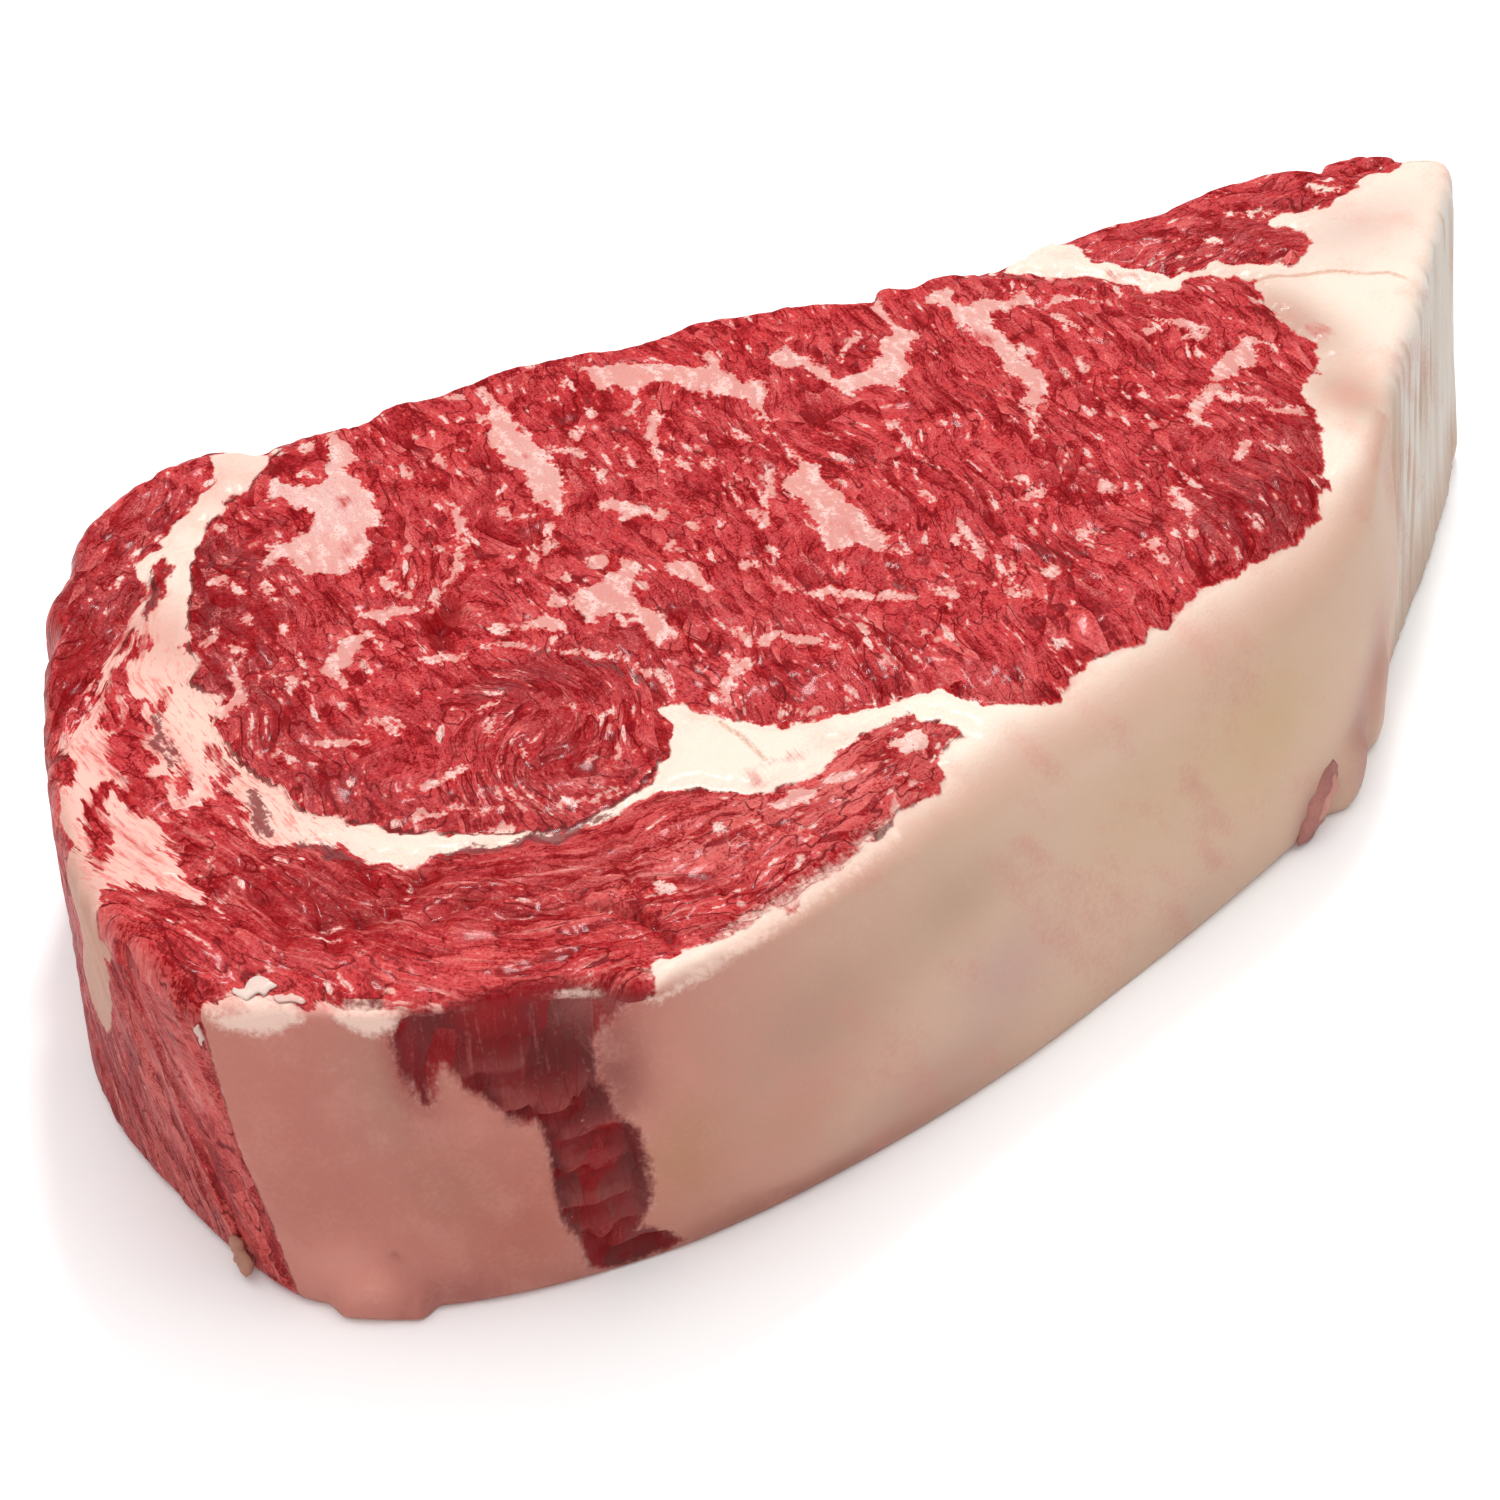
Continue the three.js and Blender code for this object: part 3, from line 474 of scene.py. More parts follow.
def stretch_distance(x, y, ax, ay, bx, by):
    """Distance from points to the straight stretch from a to b, and how far along it they lie."""
    dx, dy = bx - ax, by - ay
    t = np.clip(((x - ax) * dx + (y - ay) * dy) / (dx * dx + dy * dy), 0, 1)
    return np.hypot(x - ax - t * dx, y - ay - t * dy), t


def near_points(x, y, corners, reach):
    """The points within reach of the corners' box."""
    low, high = corners.min(0) - reach, corners.max(0) + reach
    return (x > low[0]) & (x < high[0]) & (y > low[1]) & (y < high[1])


def inside_depth(x, y, outline):
    """Depth inside a closed outline: the distance to its nearest stretch, positive inside by the
    even-odd rule, and no lower than -FIELD_REACH."""
    corners = np.array(outline, float)
    near = near_points(x, y, corners, FIELD_REACH)
    px, py = x[near], y[near]
    best = np.full(px.shape, np.inf)
    inside = np.zeros(px.shape, bool)
    for (ax, ay), (bx, by) in zip(corners, np.roll(corners, -1, 0)):
        best = np.minimum(best, stretch_distance(px, py, ax, ay, bx, by)[0])
        if ay != by:
            inside ^= ((ay > py) != (by > py)) & (px < ax + (py - ay) / (by - ay) * (bx - ax))
    depth = np.full(x.shape, -FIELD_REACH)
    depth[near] = np.maximum(np.where(inside, best, -best), -FIELD_REACH)
    return depth


def deepest(x, y, outlines):
    """Depth inside whichever of several outlines a point lies deepest in."""
    return np.maximum.reduce([inside_depth(x, y, outline) for outline in outlines])


def vein_depth(x, y, veins):
    """Depth inside the nearest of several veins: half the width there less the distance to the
    middle line."""
    depth = np.full(x.shape, -FIELD_REACH)
    for vein in veins:
        rows = np.array(vein, float)
        near = near_points(x, y, rows[:, :2], FIELD_REACH)
        px, py, best = x[near], y[near], depth[near]
        for (ax, ay, aw), (bx, by, bw) in zip(rows[:-1], rows[1:]):
            away, t = stretch_distance(px, py, ax, ay, bx, by)
            best = np.maximum(best, aw + (bw - aw) * t - away)
        depth[near] = best
    return depth


def grain_depth(x, y, grains):
    """Depth inside the nearest of several ovals that lie along the eye's grain: their narrow half
    width, times 1 less the distance in half widths."""
    depth = np.full(x.shape, -FIELD_REACH)
    for gx, gy, narrow, long in grains:
        near = (abs(x - gx) < FIELD_REACH) & (abs(y - gy) < FIELD_REACH)
        across = EYE_GRAIN[1] * (x[near] - gx) - EYE_GRAIN[0] * (y[near] - gy)
        along = EYE_GRAIN[0] * (x[near] - gx) + EYE_GRAIN[1] * (y[near] - gy)
        oval = min(narrow, long) * (1 - np.hypot(across / narrow, along / long))
        depth[near] = np.maximum(depth[near], oval)
    return depth


def crease_depth(x, y, creases):
    """How deep the creases cut at each point: a bell of each crease's half width across it."""
    depth = np.zeros(x.shape)
    for ax, ay, bx, by, half_width, deep in creases:
        ends = np.array([(ax, ay), (bx, by)], float)
        near = near_points(x, y, ends, CREASE_REACH * half_width)
        away = stretch_distance(x[near], y[near], ax, ay, bx, by)[0]
        depth[near] += deep * np.exp(-((away / half_width) ** 2))
    return depth


# How the meat's fibres run
# Fibres in the eye run up across the face. They curl round in the small muscle at its near
# end, follow the curve of the fat band and the cap, and lie along the two trimmed strips.
EYE_GRAIN = (0.2, 0.98)
STRIP_GRAIN = (0.995, -0.1)
UPPER_CAP_GRAIN = (0.75, 0.66)
CURL_CENTRE = (-53, -15.5)
CURL_REACH = 15.0
CURL_TURN = 1.2
CURL_WAVES = (1.2, 6.0)
EYE_WAVES = (1.6, 17.0)
CAP_WAVES = (0.5, 8.0)
# The band's fibres end at this x. Those of the cap and the strips reach a little past their edges
BAND_END = -45.0
CAP_MARGIN = 0.6
STRIP_MARGIN = 1.0
# The middle line of the fat band and of the cap muscle after it
CAP_MIDDLE_STEPS = 80
CAP_MIDDLE = [
    (-58, 55), (-70, 43), (-80, 31), (-86, 21), (-88.5, 11), (-88.5, 1), (-87, -8), (-84.5, -18),
    (-80, -29), (-71, -37.5), (-60, -41.5), (-48, -42.8), (-38, -42.3), (-27, -39.8), (-14, -36),
]


def straight_grain(x, y, way):
    """Distance across the fibres and distance along them, for fibres that run straight one way."""
    return way[1] * x - way[0] * y, way[0] * x + way[1] * y


def fibre_run(x, y):
    """Distance across the fibres and distance along them. Round the curl the place is turned about
    its centre first, by CURL_TURN less a smoothstep of the distance, so that straight fibres run
    in a spiral. In the fat band round the near end and in the cap they follow one middle line."""
    dx, dy = x - CURL_CENTRE[0], y - CURL_CENTRE[1]
    turn = CURL_TURN * (1 - smoothstep(0, CURL_REACH, np.hypot(dx, dy) + waves(x, y, *CURL_WAVES)))
    turned_x = dx * np.cos(turn) - dy * np.sin(turn)
    turned_y = dx * np.sin(turn) + dy * np.cos(turn)
    across, along = straight_grain(turned_x, turned_y, EYE_GRAIN)
    across = across + waves(x, y, *EYE_WAVES)

    middle = np.array(CAP_MIDDLE, float)
    rows = closed_curve(middle, np.linspace(0, len(middle) - 1, CAP_MIDDLE_STEPS))
    lengths = run_along(rows)
    band = (inside_depth(x, y, EYE) < 0) & (x < BAND_END)
    cap = band | (inside_depth(x, y, LOWER_CAP) > -CAP_MARGIN)
    cap_x, cap_y = x[cap], y[cap]
    best = np.full(cap_x.shape, np.inf)
    side, at = np.zeros(cap_x.shape), np.zeros(cap_x.shape)
    for k in range(len(rows) - 1):
        (ax, ay), (bx, by) = rows[k], rows[k + 1]
        away, t = stretch_distance(cap_x, cap_y, ax, ay, bx, by)
        closer = away < best
        best = np.where(closer, away, best)
        sign = np.sign((bx - ax) * (cap_y - ay) - (by - ay) * (cap_x - ax))
        side = np.where(closer, away * sign, side)
        at = np.where(closer, lengths[k] + t * (lengths[k + 1] - lengths[k]), at)
    across[cap] = side + waves(cap_x, cap_y, *CAP_WAVES)
    along[cap] = at

    for outline, way in ((CORNER_STRIP, STRIP_GRAIN), (UPPER_CAP, UPPER_CAP_GRAIN)):
        inside = inside_depth(x, y, outline) > -STRIP_MARGIN
        across[inside], along[inside] = straight_grain(x[inside], y[inside], way)
    return across, along


# The cut face's relief
# Muscle swells a little out of the cut and seams dip. The meat stands in flakes, one for each
# bundle of fibres, with clefts between them, and creases cut in where muscles were pulled apart.
MUSCLE_SWELL = 0.7
SWELL_REACH = 7.0
SEAM_DIP = 0.6
SEAM_HALF_WIDTH = 1.4
VEIN_DIP = 0.2
VEIN_DIP_WIDTH = 0.7
FLAKE_ACROSS = 2.7
FLAKE_ALONG = 7.0
FLAKE_LIFT = 0.3
FLAKE_TILT = 0.52
FLAKE_CLEFT = 0.2
# Widths of a flake's bevelled edge and of the cleft beside it, as shares of a flake
FLAKE_EDGE = 0.25
CLEFT_GAP = 0.3
# Flakes fade out over this distance from a seam, and by this share where a vein of fat runs
FLAKE_MARGIN = 1.2
VEIN_CALM = 0.85
RAGGED_WAVES = (0.7, 1.9)
FINE_RAGGED_WAVES = (0.35, 0.9)
FLAKE_BEND = (1.4, 7.0)
# How strong the flakes are, and how that comes and goes over the cut
FLAKE_STRENGTH = 0.75
FLAKE_STRENGTH_WAVES = (0.5, 11.0)
FIBRE_ROUGHNESS = (0.09, 1.1, 2.6)
FACE_SAG = (0.5, 24.0)
FACE_WAVES = (0.12, 5.0)


def flakes(u, v):
    """Cells round points that are strewn one to each unit square. Gives the gap, which is the
    distance to the second nearest point less that to the nearest, and a lift and a tilt that
    are fixed for each cell."""
    i, j = np.floor(u), np.floor(v)
    best, second = np.full(u.shape, 9.0), np.full(u.shape, 9.0)
    lift, tilt = np.zeros(u.shape), np.zeros(u.shape)
    for a in (i - 1, i, i + 1):
        for b in (j - 1, j, j + 1):
            du = u - a - lattice(a + 31, b)
            dv = v - b - lattice(a, b + 57)
            away = np.hypot(du, dv)
            closer = away < best
            second = np.where(closer, best, np.minimum(second, away))
            best = np.where(closer, away, best)
            lift = np.where(closer, lattice(a + 7, b + 3) - 0.5, lift)
            lean_over = du * (lattice(a + 11, b) - 0.5) + dv * (lattice(a, b + 13) - 0.5)
            tilt = np.where(closer, lean_over, tilt)
    return second - best, lift, tilt


def ragged_place(x, y):
    """Places pushed about by up to a millimetre, so that a tissue's drawn edge turns ragged."""
    push_x = waves(x, y, *RAGGED_WAVES, moved=(11, 0)) + waves(x, y, *FINE_RAGGED_WAVES, moved=(0, 5))
    push_y = waves(x, y, *RAGGED_WAVES, moved=(0, 23)) + waves(x, y, *FINE_RAGGED_WAVES, moved=(9, 0))
    return x + push_x, y + push_y


def fat_vein_depth(x, y):
    """Depth inside all fat that lies within the muscles: islands, veins and single grains."""
    thin_fat = np.maximum(vein_depth(x, y, FAT_VEINS), grain_depth(x, y, FAT_GRAINS))
    return np.maximum(thin_fat, deepest(x, y, FAT_ISLANDS))


def face_flakes(x, y):
    """The flakes at points of the cut face, drawn along the fibres."""
    across, along = fibre_run(x, y)
    bent = waves(x, y, *FLAKE_BEND, moved=(5, 0))
    return flakes((across + bent) / FLAKE_ACROSS, (along + bent) / FLAKE_ALONG)


def face_relief(x, y):
    """Height over the plane of the cut: swell by depth in the muscle, a bell-shaped dip along
    each seam and each vein's margin, flakes and fibres in the meat, a sag, less the creases."""
    place_x, place_y = ragged_place(x, y)
    lean = deepest(place_x, place_y, MUSCLES)
    vein = fat_vein_depth(place_x, place_y)
    across, along = fibre_run(x, y)
    gap, lift, tilt = face_flakes(x, y)
    meat = smoothstep(0, FLAKE_MARGIN, lean) * (1 - VEIN_CALM * smoothstep(-0.5, 0.4, vein))
    ridges = (FLAKE_LIFT * lift + FLAKE_TILT * tilt) * smoothstep(0, FLAKE_EDGE, gap)
    ridges -= FLAKE_CLEFT * (1 - smoothstep(0, CLEFT_GAP, gap))
    ridges *= FLAKE_STRENGTH + waves(x, y, *FLAKE_STRENGTH_WAVES, moved=(2, 0))
    ridges += waves(across, along, *FIBRE_ROUGHNESS, moved=(80, 0))
    swell = MUSCLE_SWELL * smoothstep(0, SWELL_REACH, lean)
    seam = SEAM_DIP * np.exp(-((lean / SEAM_HALF_WIDTH) ** 2))
    margin = VEIN_DIP * np.exp(-((vein / VEIN_DIP_WIDTH) ** 2)) * (lean > 0)
    sag = waves(x, y, *FACE_SAG, moved=(3, 0)) + waves(x, y, *FACE_WAVES, moved=(0, 8))
    creased = crease_depth(place_x, place_y, CREASES)
    return swell - seam + ridges * meat - margin + sag - creased


# The wall
# Smooth fat wraps the near side, with a window where the knife ran close to the meat. The end
# is fat in long upright wrinkles, the rib side is torn meat and the narrow side striped meat.
RIM_STEPS = 10
WALL_STEPS = 27
FOOT_STEPS = 2
FOOT_ROUND = 1.6
# The near wall swells out by this in its middle
BELLY = 1.2
# The cut face's relief runs on over this share of the rim's rounding
RIM_SHARE = 0.8
# The coarse and the fine waves on each side
WRINKLES = [(0.45, 2.2, 30.0), (0.25, 0.9, 14.0)]
CRAGS = [(0.9, 3.4, 16.0), (0.3, 1.1, 4.0)]
STRIPES = [(0.35, 1.8, 34.0), (0.2, 0.8, 9.0)]
FAT_WAVES = [(0.5, 15.0, 13.0), (0.2, 5.0, 6.0)]
# The wrinkles sway from side to side as they rise, and the stripes lean
WRINKLE_SWAY = 1.4
WRINKLE_SWAY_HEIGHT = 9.0
STRIPE_LEAN = 0.2
# The window in the near wall, as x and height
WINDOW_OUTLINE = [
    (-88, 44), (-88.6, 37), (-88, 32), (-86.8, 29), (-86, 31.5), (-85.4, 34), (-84, 33.4),
    (-83, 30.4), (-80.6, 28), (-79.4, 26), (-77, 25.2), (-76.3, 22.5), (-76.1, 18.2),
    (-75.6, 11.3), (-74, 7.4), (-72.8, 2.2), (-70, 0.6), (-62.4, 1.2), (-64.6, 3.8), (-67.1, 5.9),
    (-68.1, 5.3), (-66.4, 10.7), (-67.1, 17.4), (-68, 22.3), (-70.3, 24.9), (-70.5, 27.6),
    (-71.5, 30.9), (-71, 35), (-68.2, 38), (-67, 44),
]
WINDOW_DEPTH = 1.5
LEDGE_BOW = 0.07
LEDGE_LIP = 2.2
# How deep an undercut is beside its lip, how far its middle lies below it, and its half width
UNDERCUT_DEPTH = 0.5
LEDGE_UNDERCUT = (1.4, 0.8)
LEDGE_LINE_WAVES = (0.9, 2.3)
LEDGE_SIZE_WAVES = (0.6, 2.9)
# The torn ledges in the window: x, height and half width of each lip, and how far it stands out
LEDGES = [
    (-81, 31.5, 5.5, 1.6), (-76.2, 26.6, 5.5, 1.9), (-72.7, 21.8, 4.2, 1.6), (-72.2, 17.2, 4, 1.8),
    (-71.8, 12.2, 4, 1.7), (-70.6, 7.2, 4, 1.5), (-68, 3.6, 5, 1.1),
]
# Creases in the near wall's fat: from x, height to x, height, half width, depth
WALL_CREASES = [
    (-101, 7.5, -98.5, 10, 0.5, 0.25), (-98.5, 10, -95, 10.6, 0.5, 0.3),
    (-95, 10.6, -91.4, 8.4, 0.5, 0.35), (-91.4, 8.4, -90.2, 5, 0.5, 0.4),
    (-90.2, 5, -91.4, 1.6, 0.5, 0.4), (-96, 3.4, -92, 2.2, 0.5, 0.3),
    (-85, 9, -83.6, 5.4, 0.5, 0.3), (-83.6, 5.4, -84.6, 1.6, 0.5, 0.3),
    (-89.6, 24, -88.6, 18, 0.6, 0.3), (-101, 27, -100, 20, 0.7, 0.3), (-94, 21, -93, 14, 0.9, 0.3),
    (-60, 6, -50, 2.5, 0.9, 0.4), (-88, 36, -87.5, 28, 0.8, 0.4),
]
# A round lobe of fat at the foot of the near corner
FAT_LOBE = {"x": -93, "half_width": 5, "height": 9, "out": 1.8}
# Thin flaps that stand out at the foot of the end
FLAPS = [
    {"x": 44, "y": -38, "radius": 5, "top": 11, "out": 1.8},
    {"x": 53.5, "y": -32, "radius": 3.5, "top": 17, "out": 0.8},
]


def ledge_shapes(x, z):
    """Each ledge's lip and undercut. The lip's line bows down in the middle. Above it the lip
    stands out and dies away with the height, and the undercut is a bell of the height below it."""
    below, reach = LEDGE_UNDERCUT
    for lx, lz, half_width, out in LEDGES:
        over = z - lz - LEDGE_BOW * (x - lx) ** 2 + waves(x, 0 * x, *LEDGE_LINE_WAVES, moved=(0, lz))
        here = out * (1 - smoothstep(0.65, 1, abs(x - lx) / half_width))
        here = here * (1 + waves(x, 0 * x, *LEDGE_SIZE_WAVES, moved=(0, -lz)))
        lip = here * smoothstep(-0.7, 0.3, over) * np.exp(-np.maximum(over, 0) / LEDGE_LIP)
        yield lip, here * np.exp(-(((over + below) / reach) ** 2))


def wall_relief(run, side, x, y, z):
    """How far the wall stands out of its smooth form: wrinkles, crags, stripes or soft waves by
    the side, the window's ledges, the fat lobe at the foot of the near corner and two flaps."""
    up = z / THICKNESS
    fade = smoothstep(0, 0.08, up) * (1 - 0.7 * smoothstep(0.9, 1, up))
    near_side = side == FAT
    swayed = run + WRINKLE_SWAY * np.sin(z / WRINKLE_SWAY_HEIGHT)
    relief = np.zeros(z.shape)
    for on_side, along_wall, kinds in (
        (side == END, swayed, WRINKLES), (side == FAR, run, CRAGS),
        (side == LEFT, run + STRIPE_LEAN * z, STRIPES), (near_side, x, FAT_WAVES),
    ):
        relief += on_side * fade * sum(waves(along_wall, z, *kind) for kind in kinds)
    in_window = smoothstep(-0.6, 1.4, inside_depth(x, z, WINDOW_OUTLINE)) * near_side
    relief -= in_window * fade * WINDOW_DEPTH
    for lip, undercut in ledge_shapes(x, z):
        relief += in_window * (lip - UNDERCUT_DEPTH * undercut)
    lobe = np.hypot((x - FAT_LOBE["x"]) / FAT_LOBE["half_width"], z / FAT_LOBE["height"])
    relief += near_side * FAT_LOBE["out"] * (1 - smoothstep(0.6, 1, lobe))
    relief -= near_side * crease_depth(x, z, WALL_CREASES)
    for flap in FLAPS:
        near = 1 - smoothstep(0.3, 1, np.hypot(x - flap["x"], y - flap["y"]) / flap["radius"])
        relief += flap["out"] * near * (1 - smoothstep(0.7, 1, z / flap["top"]))
    return relief


def wall_profile():
    """The wall's steps from the rim down, each as height and inset, for every post: a quarter
    turn of the rim's own radius, a straight fall, and a quarter turn into the base."""
    radius = ring["radius"][None, :]
    turn = (np.pi / 2 * np.arange(RIM_STEPS + 1) / RIM_STEPS)[:, None]
    rim = (THICKNESS - radius * (1 - np.cos(turn)), radius * (1 - np.sin(turn)))
    share = (np.arange(1, WALL_STEPS + 1) / WALL_STEPS)[:, None]
    fall = ((THICKNESS - radius) * (1 - share) + FOOT_ROUND * share, 0 * radius * share)
    bend = (np.pi / 2 * np.arange(1, FOOT_STEPS + 1) / FOOT_STEPS)[:, None]
    foot = (FOOT_ROUND * (1 - np.sin(bend)) + 0 * radius, FOOT_ROUND * (1 - np.cos(bend)) + 0 * radius)
    return tuple(np.vstack(parts) for parts in zip(rim, fall, foot))


height, inset = wall_profile()
up = height / THICKNESS
wall_run = np.broadcast_to(ring["run"], height.shape)
wall_side = np.broadcast_to(ring["side"], height.shape)
wall_x = ring["foot"][:, 0] + (ring["edge"][:, 0] - ring["foot"][:, 0]) * up
wall_y = ring["foot"][:, 1] + (ring["edge"][:, 1] - ring["foot"][:, 1]) * up
belly = BELLY * np.sin(np.pi * up) * (wall_side == FAT)
stands_out = belly - inset + wall_relief(wall_run, wall_side, wall_x, wall_y, height)
wall_x = wall_x + ring["out"][:, 0] * stands_out
wall_y = wall_y + ring["out"][:, 1] * stands_out
over_rim = smoothstep(RIM_SHARE, 0, (THICKNESS - height) / ring["radius"])
wall_z = height + face_relief(wall_x, wall_y) * over_rim
wall_z[-1] = 0


# The skin as one closed mesh
# The steak is of one piece. A grid fills the rim of the cut face, the wall hangs from that
# rim, and a grid four times coarser closes the flat underside that the steak lies on.
BASE_SHARE = 4


def rim_sides(rim, along, across):
    """The four sides of a closed rim, each with both its corners, drawn the way of the grid."""
    near_and_end = rim[: along + 1], rim[along : along + across + 1]
    far = rim[(2 * along + across - np.arange(along + 1)) % len(rim)]
    left = rim[(len(rim) - np.arange(across + 1)) % len(rim)]
    return *near_and_end, far, left


def fill_rim(rim, along, across):
    """A Coons patch: the grid between four sides of a closed rim, each point the sum of the two
    blends between opposite sides, less the blend between the four corners."""
    near_side, end_side, far_side, left_side = rim_sides(rim, along, across)
    u = np.linspace(0, 1, along + 1)[None, :, None]
    v = np.linspace(0, 1, across + 1)[:, None, None]
    between = near_side * (1 - v) + far_side * v + left_side[:, None] * (1 - u) + end_side[:, None] * u
    near_corners = near_side[0] * (1 - u) + near_side[-1] * u
    far_corners = far_side[0] * (1 - u) + far_side[-1] * u
    return between - (near_corners * (1 - v) + far_corners * v)


def grid_indices(rim_indices, along, across, first_new):
    """Indices of a grid's points, with its edge taken from the rim's and the rest counted on from
    first_new."""
    indices = np.zeros((across + 1, along + 1), int)
    inner = indices[1:-1, 1:-1]
    inner[:] = first_new + np.arange(inner.size).reshape(inner.shape)
    edges = indices[0, :], indices[:, -1], indices[-1, :], indices[:, 0]
    for edge, side in zip(edges, rim_sides(rim_indices, along, across)):
        edge[:] = side
    return indices


def quads(indices):
    """Four corners of each cell of a grid of indices, anticlockwise as the grid is drawn."""
    a, b, c, d = indices[:-1, :-1], indices[:-1, 1:], indices[1:, 1:], indices[1:, :-1]
    return np.stack([a, b, c, d], -1).reshape(-1, 4)


posts = len(ring["run"])
wall_rows = len(height)
wall_points = np.stack([wall_x, wall_y, wall_z], -1)
wall_indices = np.arange(wall_rows * posts).reshape(wall_rows, posts)

face_points = fill_rim(wall_points[0, :, :2], CELLS_ALONG, CELLS_ACROSS)[1:-1, 1:-1]
face_x, face_y = face_points[..., 0].ravel(), face_points[..., 1].ravel()
face_z = THICKNESS + face_relief(face_x, face_y)
face_indices = grid_indices(wall_indices[0], CELLS_ALONG, CELLS_ACROSS, wall_rows * posts)

base_along, base_across = CELLS_ALONG // BASE_SHARE, CELLS_ACROSS // BASE_SHARE
base_rim = wall_points[-1, ::BASE_SHARE, :2]
base_points = fill_rim(base_rim, base_along, base_across)[1:-1, 1:-1].reshape(-1, 2)
base_indices = grid_indices(
    wall_indices[-1, ::BASE_SHARE], base_along, base_across, wall_rows * posts + len(face_x)
)


def base_border():
    """The underside's outer cells. Their sides on the rim keep all the wall's posts, so that the
    coarse grid meets the fine wall without a gap."""
    rim_order = {int(post): k for k, post in enumerate(wall_indices[-1, ::BASE_SHARE])}
    cells = []
    for j in range(base_across):
        for i in range(base_along):
            if 0 < i < base_along - 1 and 0 < j < base_across - 1:
                continue
            loop = [int(base_indices[a]) for a in ((j, i), (j, i + 1), (j + 1, i + 1), (j + 1, i))]
            outline = []
            for a, b in zip(loop, loop[1:] + loop[:1]):
                outline.append(a)
                on_rim = a in rim_order and b in rim_order
                if on_rim and (rim_order[a] + 1) % len(rim_order) == rim_order[b]:
                    outline.extend(range(a + 1, a + BASE_SHARE))
            cells.append(outline[::-1])
    return cells


wall_wrapped = np.column_stack([wall_indices, wall_indices[:, :1]])
faces = quads(face_indices).tolist()
faces += quads(wall_wrapped)[:, ::-1].tolist()
faces += quads(base_indices[1:-1, 1:-1])[:, ::-1].tolist()
faces += base_border()

drawn = np.vstack([
    wall_points.reshape(-1, 3),
    np.column_stack([face_x, face_y, face_z]),
    np.column_stack([base_points, np.zeros(len(base_points))]),
])
node_low, node_high = (np.array(corner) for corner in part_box("ribeye_steak"))
drawn_low, drawn_high = drawn.min(0), drawn.max(0)


def add_tissue(name, points, faces):
    """A smooth piece of tissue from points in millimetres. They are brought to the frame's node:
    the steak's drawn box is stretched onto the node's own box."""
    stretch = (node_high - node_low) / (drawn_high - drawn_low)
    placed = (points - (drawn_low + drawn_high) / 2) * stretch + (node_low + node_high) / 2
    mesh = bpy.data.meshes.new(name)
    mesh.from_pydata(placed.tolist(), [], faces)
    mesh.polygons.foreach_set("use_smooth", np.ones(len(mesh.polygons), bool))
    piece = bpy.data.objects.new(name, mesh)
    bpy.context.scene.collection.objects.link(piece)
    return piece


steak = add_tissue("ribeye_steak_skin", drawn, faces)
steak_mesh = steak.data


# Where the tissues lie on the skin
# Each point of the skin knows how deep it lies in meat, in fat, in blood or in sinew, in
# millimetres, and what tint the meat and the fat have there. The finish reads these.
EYE_RED = (186, 62, 65)
DULL_RED = (98, 37, 41)
BRIGHT_RED = (190, 42, 46)
PINK_RED = (208, 114, 108)
WINDOW_RED = (86, 30, 30)
LIT_LIP_RED = (148, 68, 64)
WALL_RED = (188, 84, 79)
SEAM_FAT = (225, 206, 191)
VEIN_FAT = (199, 138, 130)
BAND_FAT = (224, 176, 164)
SHADED_SLAB_FAT = (182, 116, 104)
SHADED_CAP_FAT = (206, 173, 151)
END_FAT = (213, 203, 193)
END_STREAK = (186, 157, 135)
SLIVER_FAT = (190, 143, 124)

# Soft ovals of another tint on the cut face: x, y, half widths, tint, strength. The darkest few in
# the lower cap lie over its creases and are painted shade, and the broad last one darkens the eye's
# middle as painted shade
LEAN_PATCHES = [
    (-68, 34, 7, 10, DULL_RED, 0.9), (-75, 10, 5, 16, DULL_RED, 0.6),
    (-76, -8, 5, 7, DULL_RED, 0.5), (-50, -5, 9, 4, DULL_RED, 0.7), (38, -27, 12, 6, DULL_RED, 0.8),
    (52, -16, 6, 6, DULL_RED, 0.4), (75, 20, 16, 5, DULL_RED, 0.4), (-84, 34, 14, 12, DULL_RED, 0.5),
    (-30, -38, 16, 5, PINK_RED, 0.8), (-55, -40, 22, 9, PINK_RED, 0.35),
    (-94, -24, 8, 6, BRIGHT_RED, 0.5), (-88, -36, 12, 5, BRIGHT_RED, 0.6),
    (20, 37, 60, 5, BRIGHT_RED, 0.6), (-60, -46, 20, 4, BRIGHT_RED, 0.5),
    (-33, -5, 8, 6, DULL_RED, 0.4), (-53, -16, 10, 10, (140, 34, 38), 0.8),
    (-70, 28, 8, 12, DULL_RED, 0.35), (40, -20, 14, 8, DULL_RED, 0.3), (-90, -18, 8, 9, DULL_RED, 0.5),
    (-77, -27, 9, 5, (118, 18, 24), 0.6), (-45, -39, 10, 3, PINK_RED, 0.4),
    (-84, -23, 5, 7, (96, 20, 26), 0.6), (-70, -35, 8, 3, (96, 18, 24), 0.5),
    (-73, 21, 4, 9, (92, 30, 34), 0.5), (-60, -34, 7, 3, (104, 20, 26), 0.4),
    (-25, 22, 32, 24, (160, 50, 54), 0.3),
]
# The same on the fat round the muscles
FAT_PATCHES = [
    (-79, 8, 6, 22, (224, 172, 160), 0.7), (-14, -33, 12, 6, (228, 213, 197), 0.9),
    (66, 2, 5, 11, (178, 137, 122), 0.9), (61, -15, 5, 8, (170, 131, 113), 0.8),
    (86, 13, 12, 6, (203, 177, 165), 0.9), (-60, 50, 12, 8, (214, 174, 161), 0.8),
    (-79, 26, 6, 10, (198, 146, 134), 0.8), (-95, -36, 8, 4, (204, 151, 139), 0.8),
    (-82, 8, 2.5, 12, (222, 192, 174), 0.5),
]
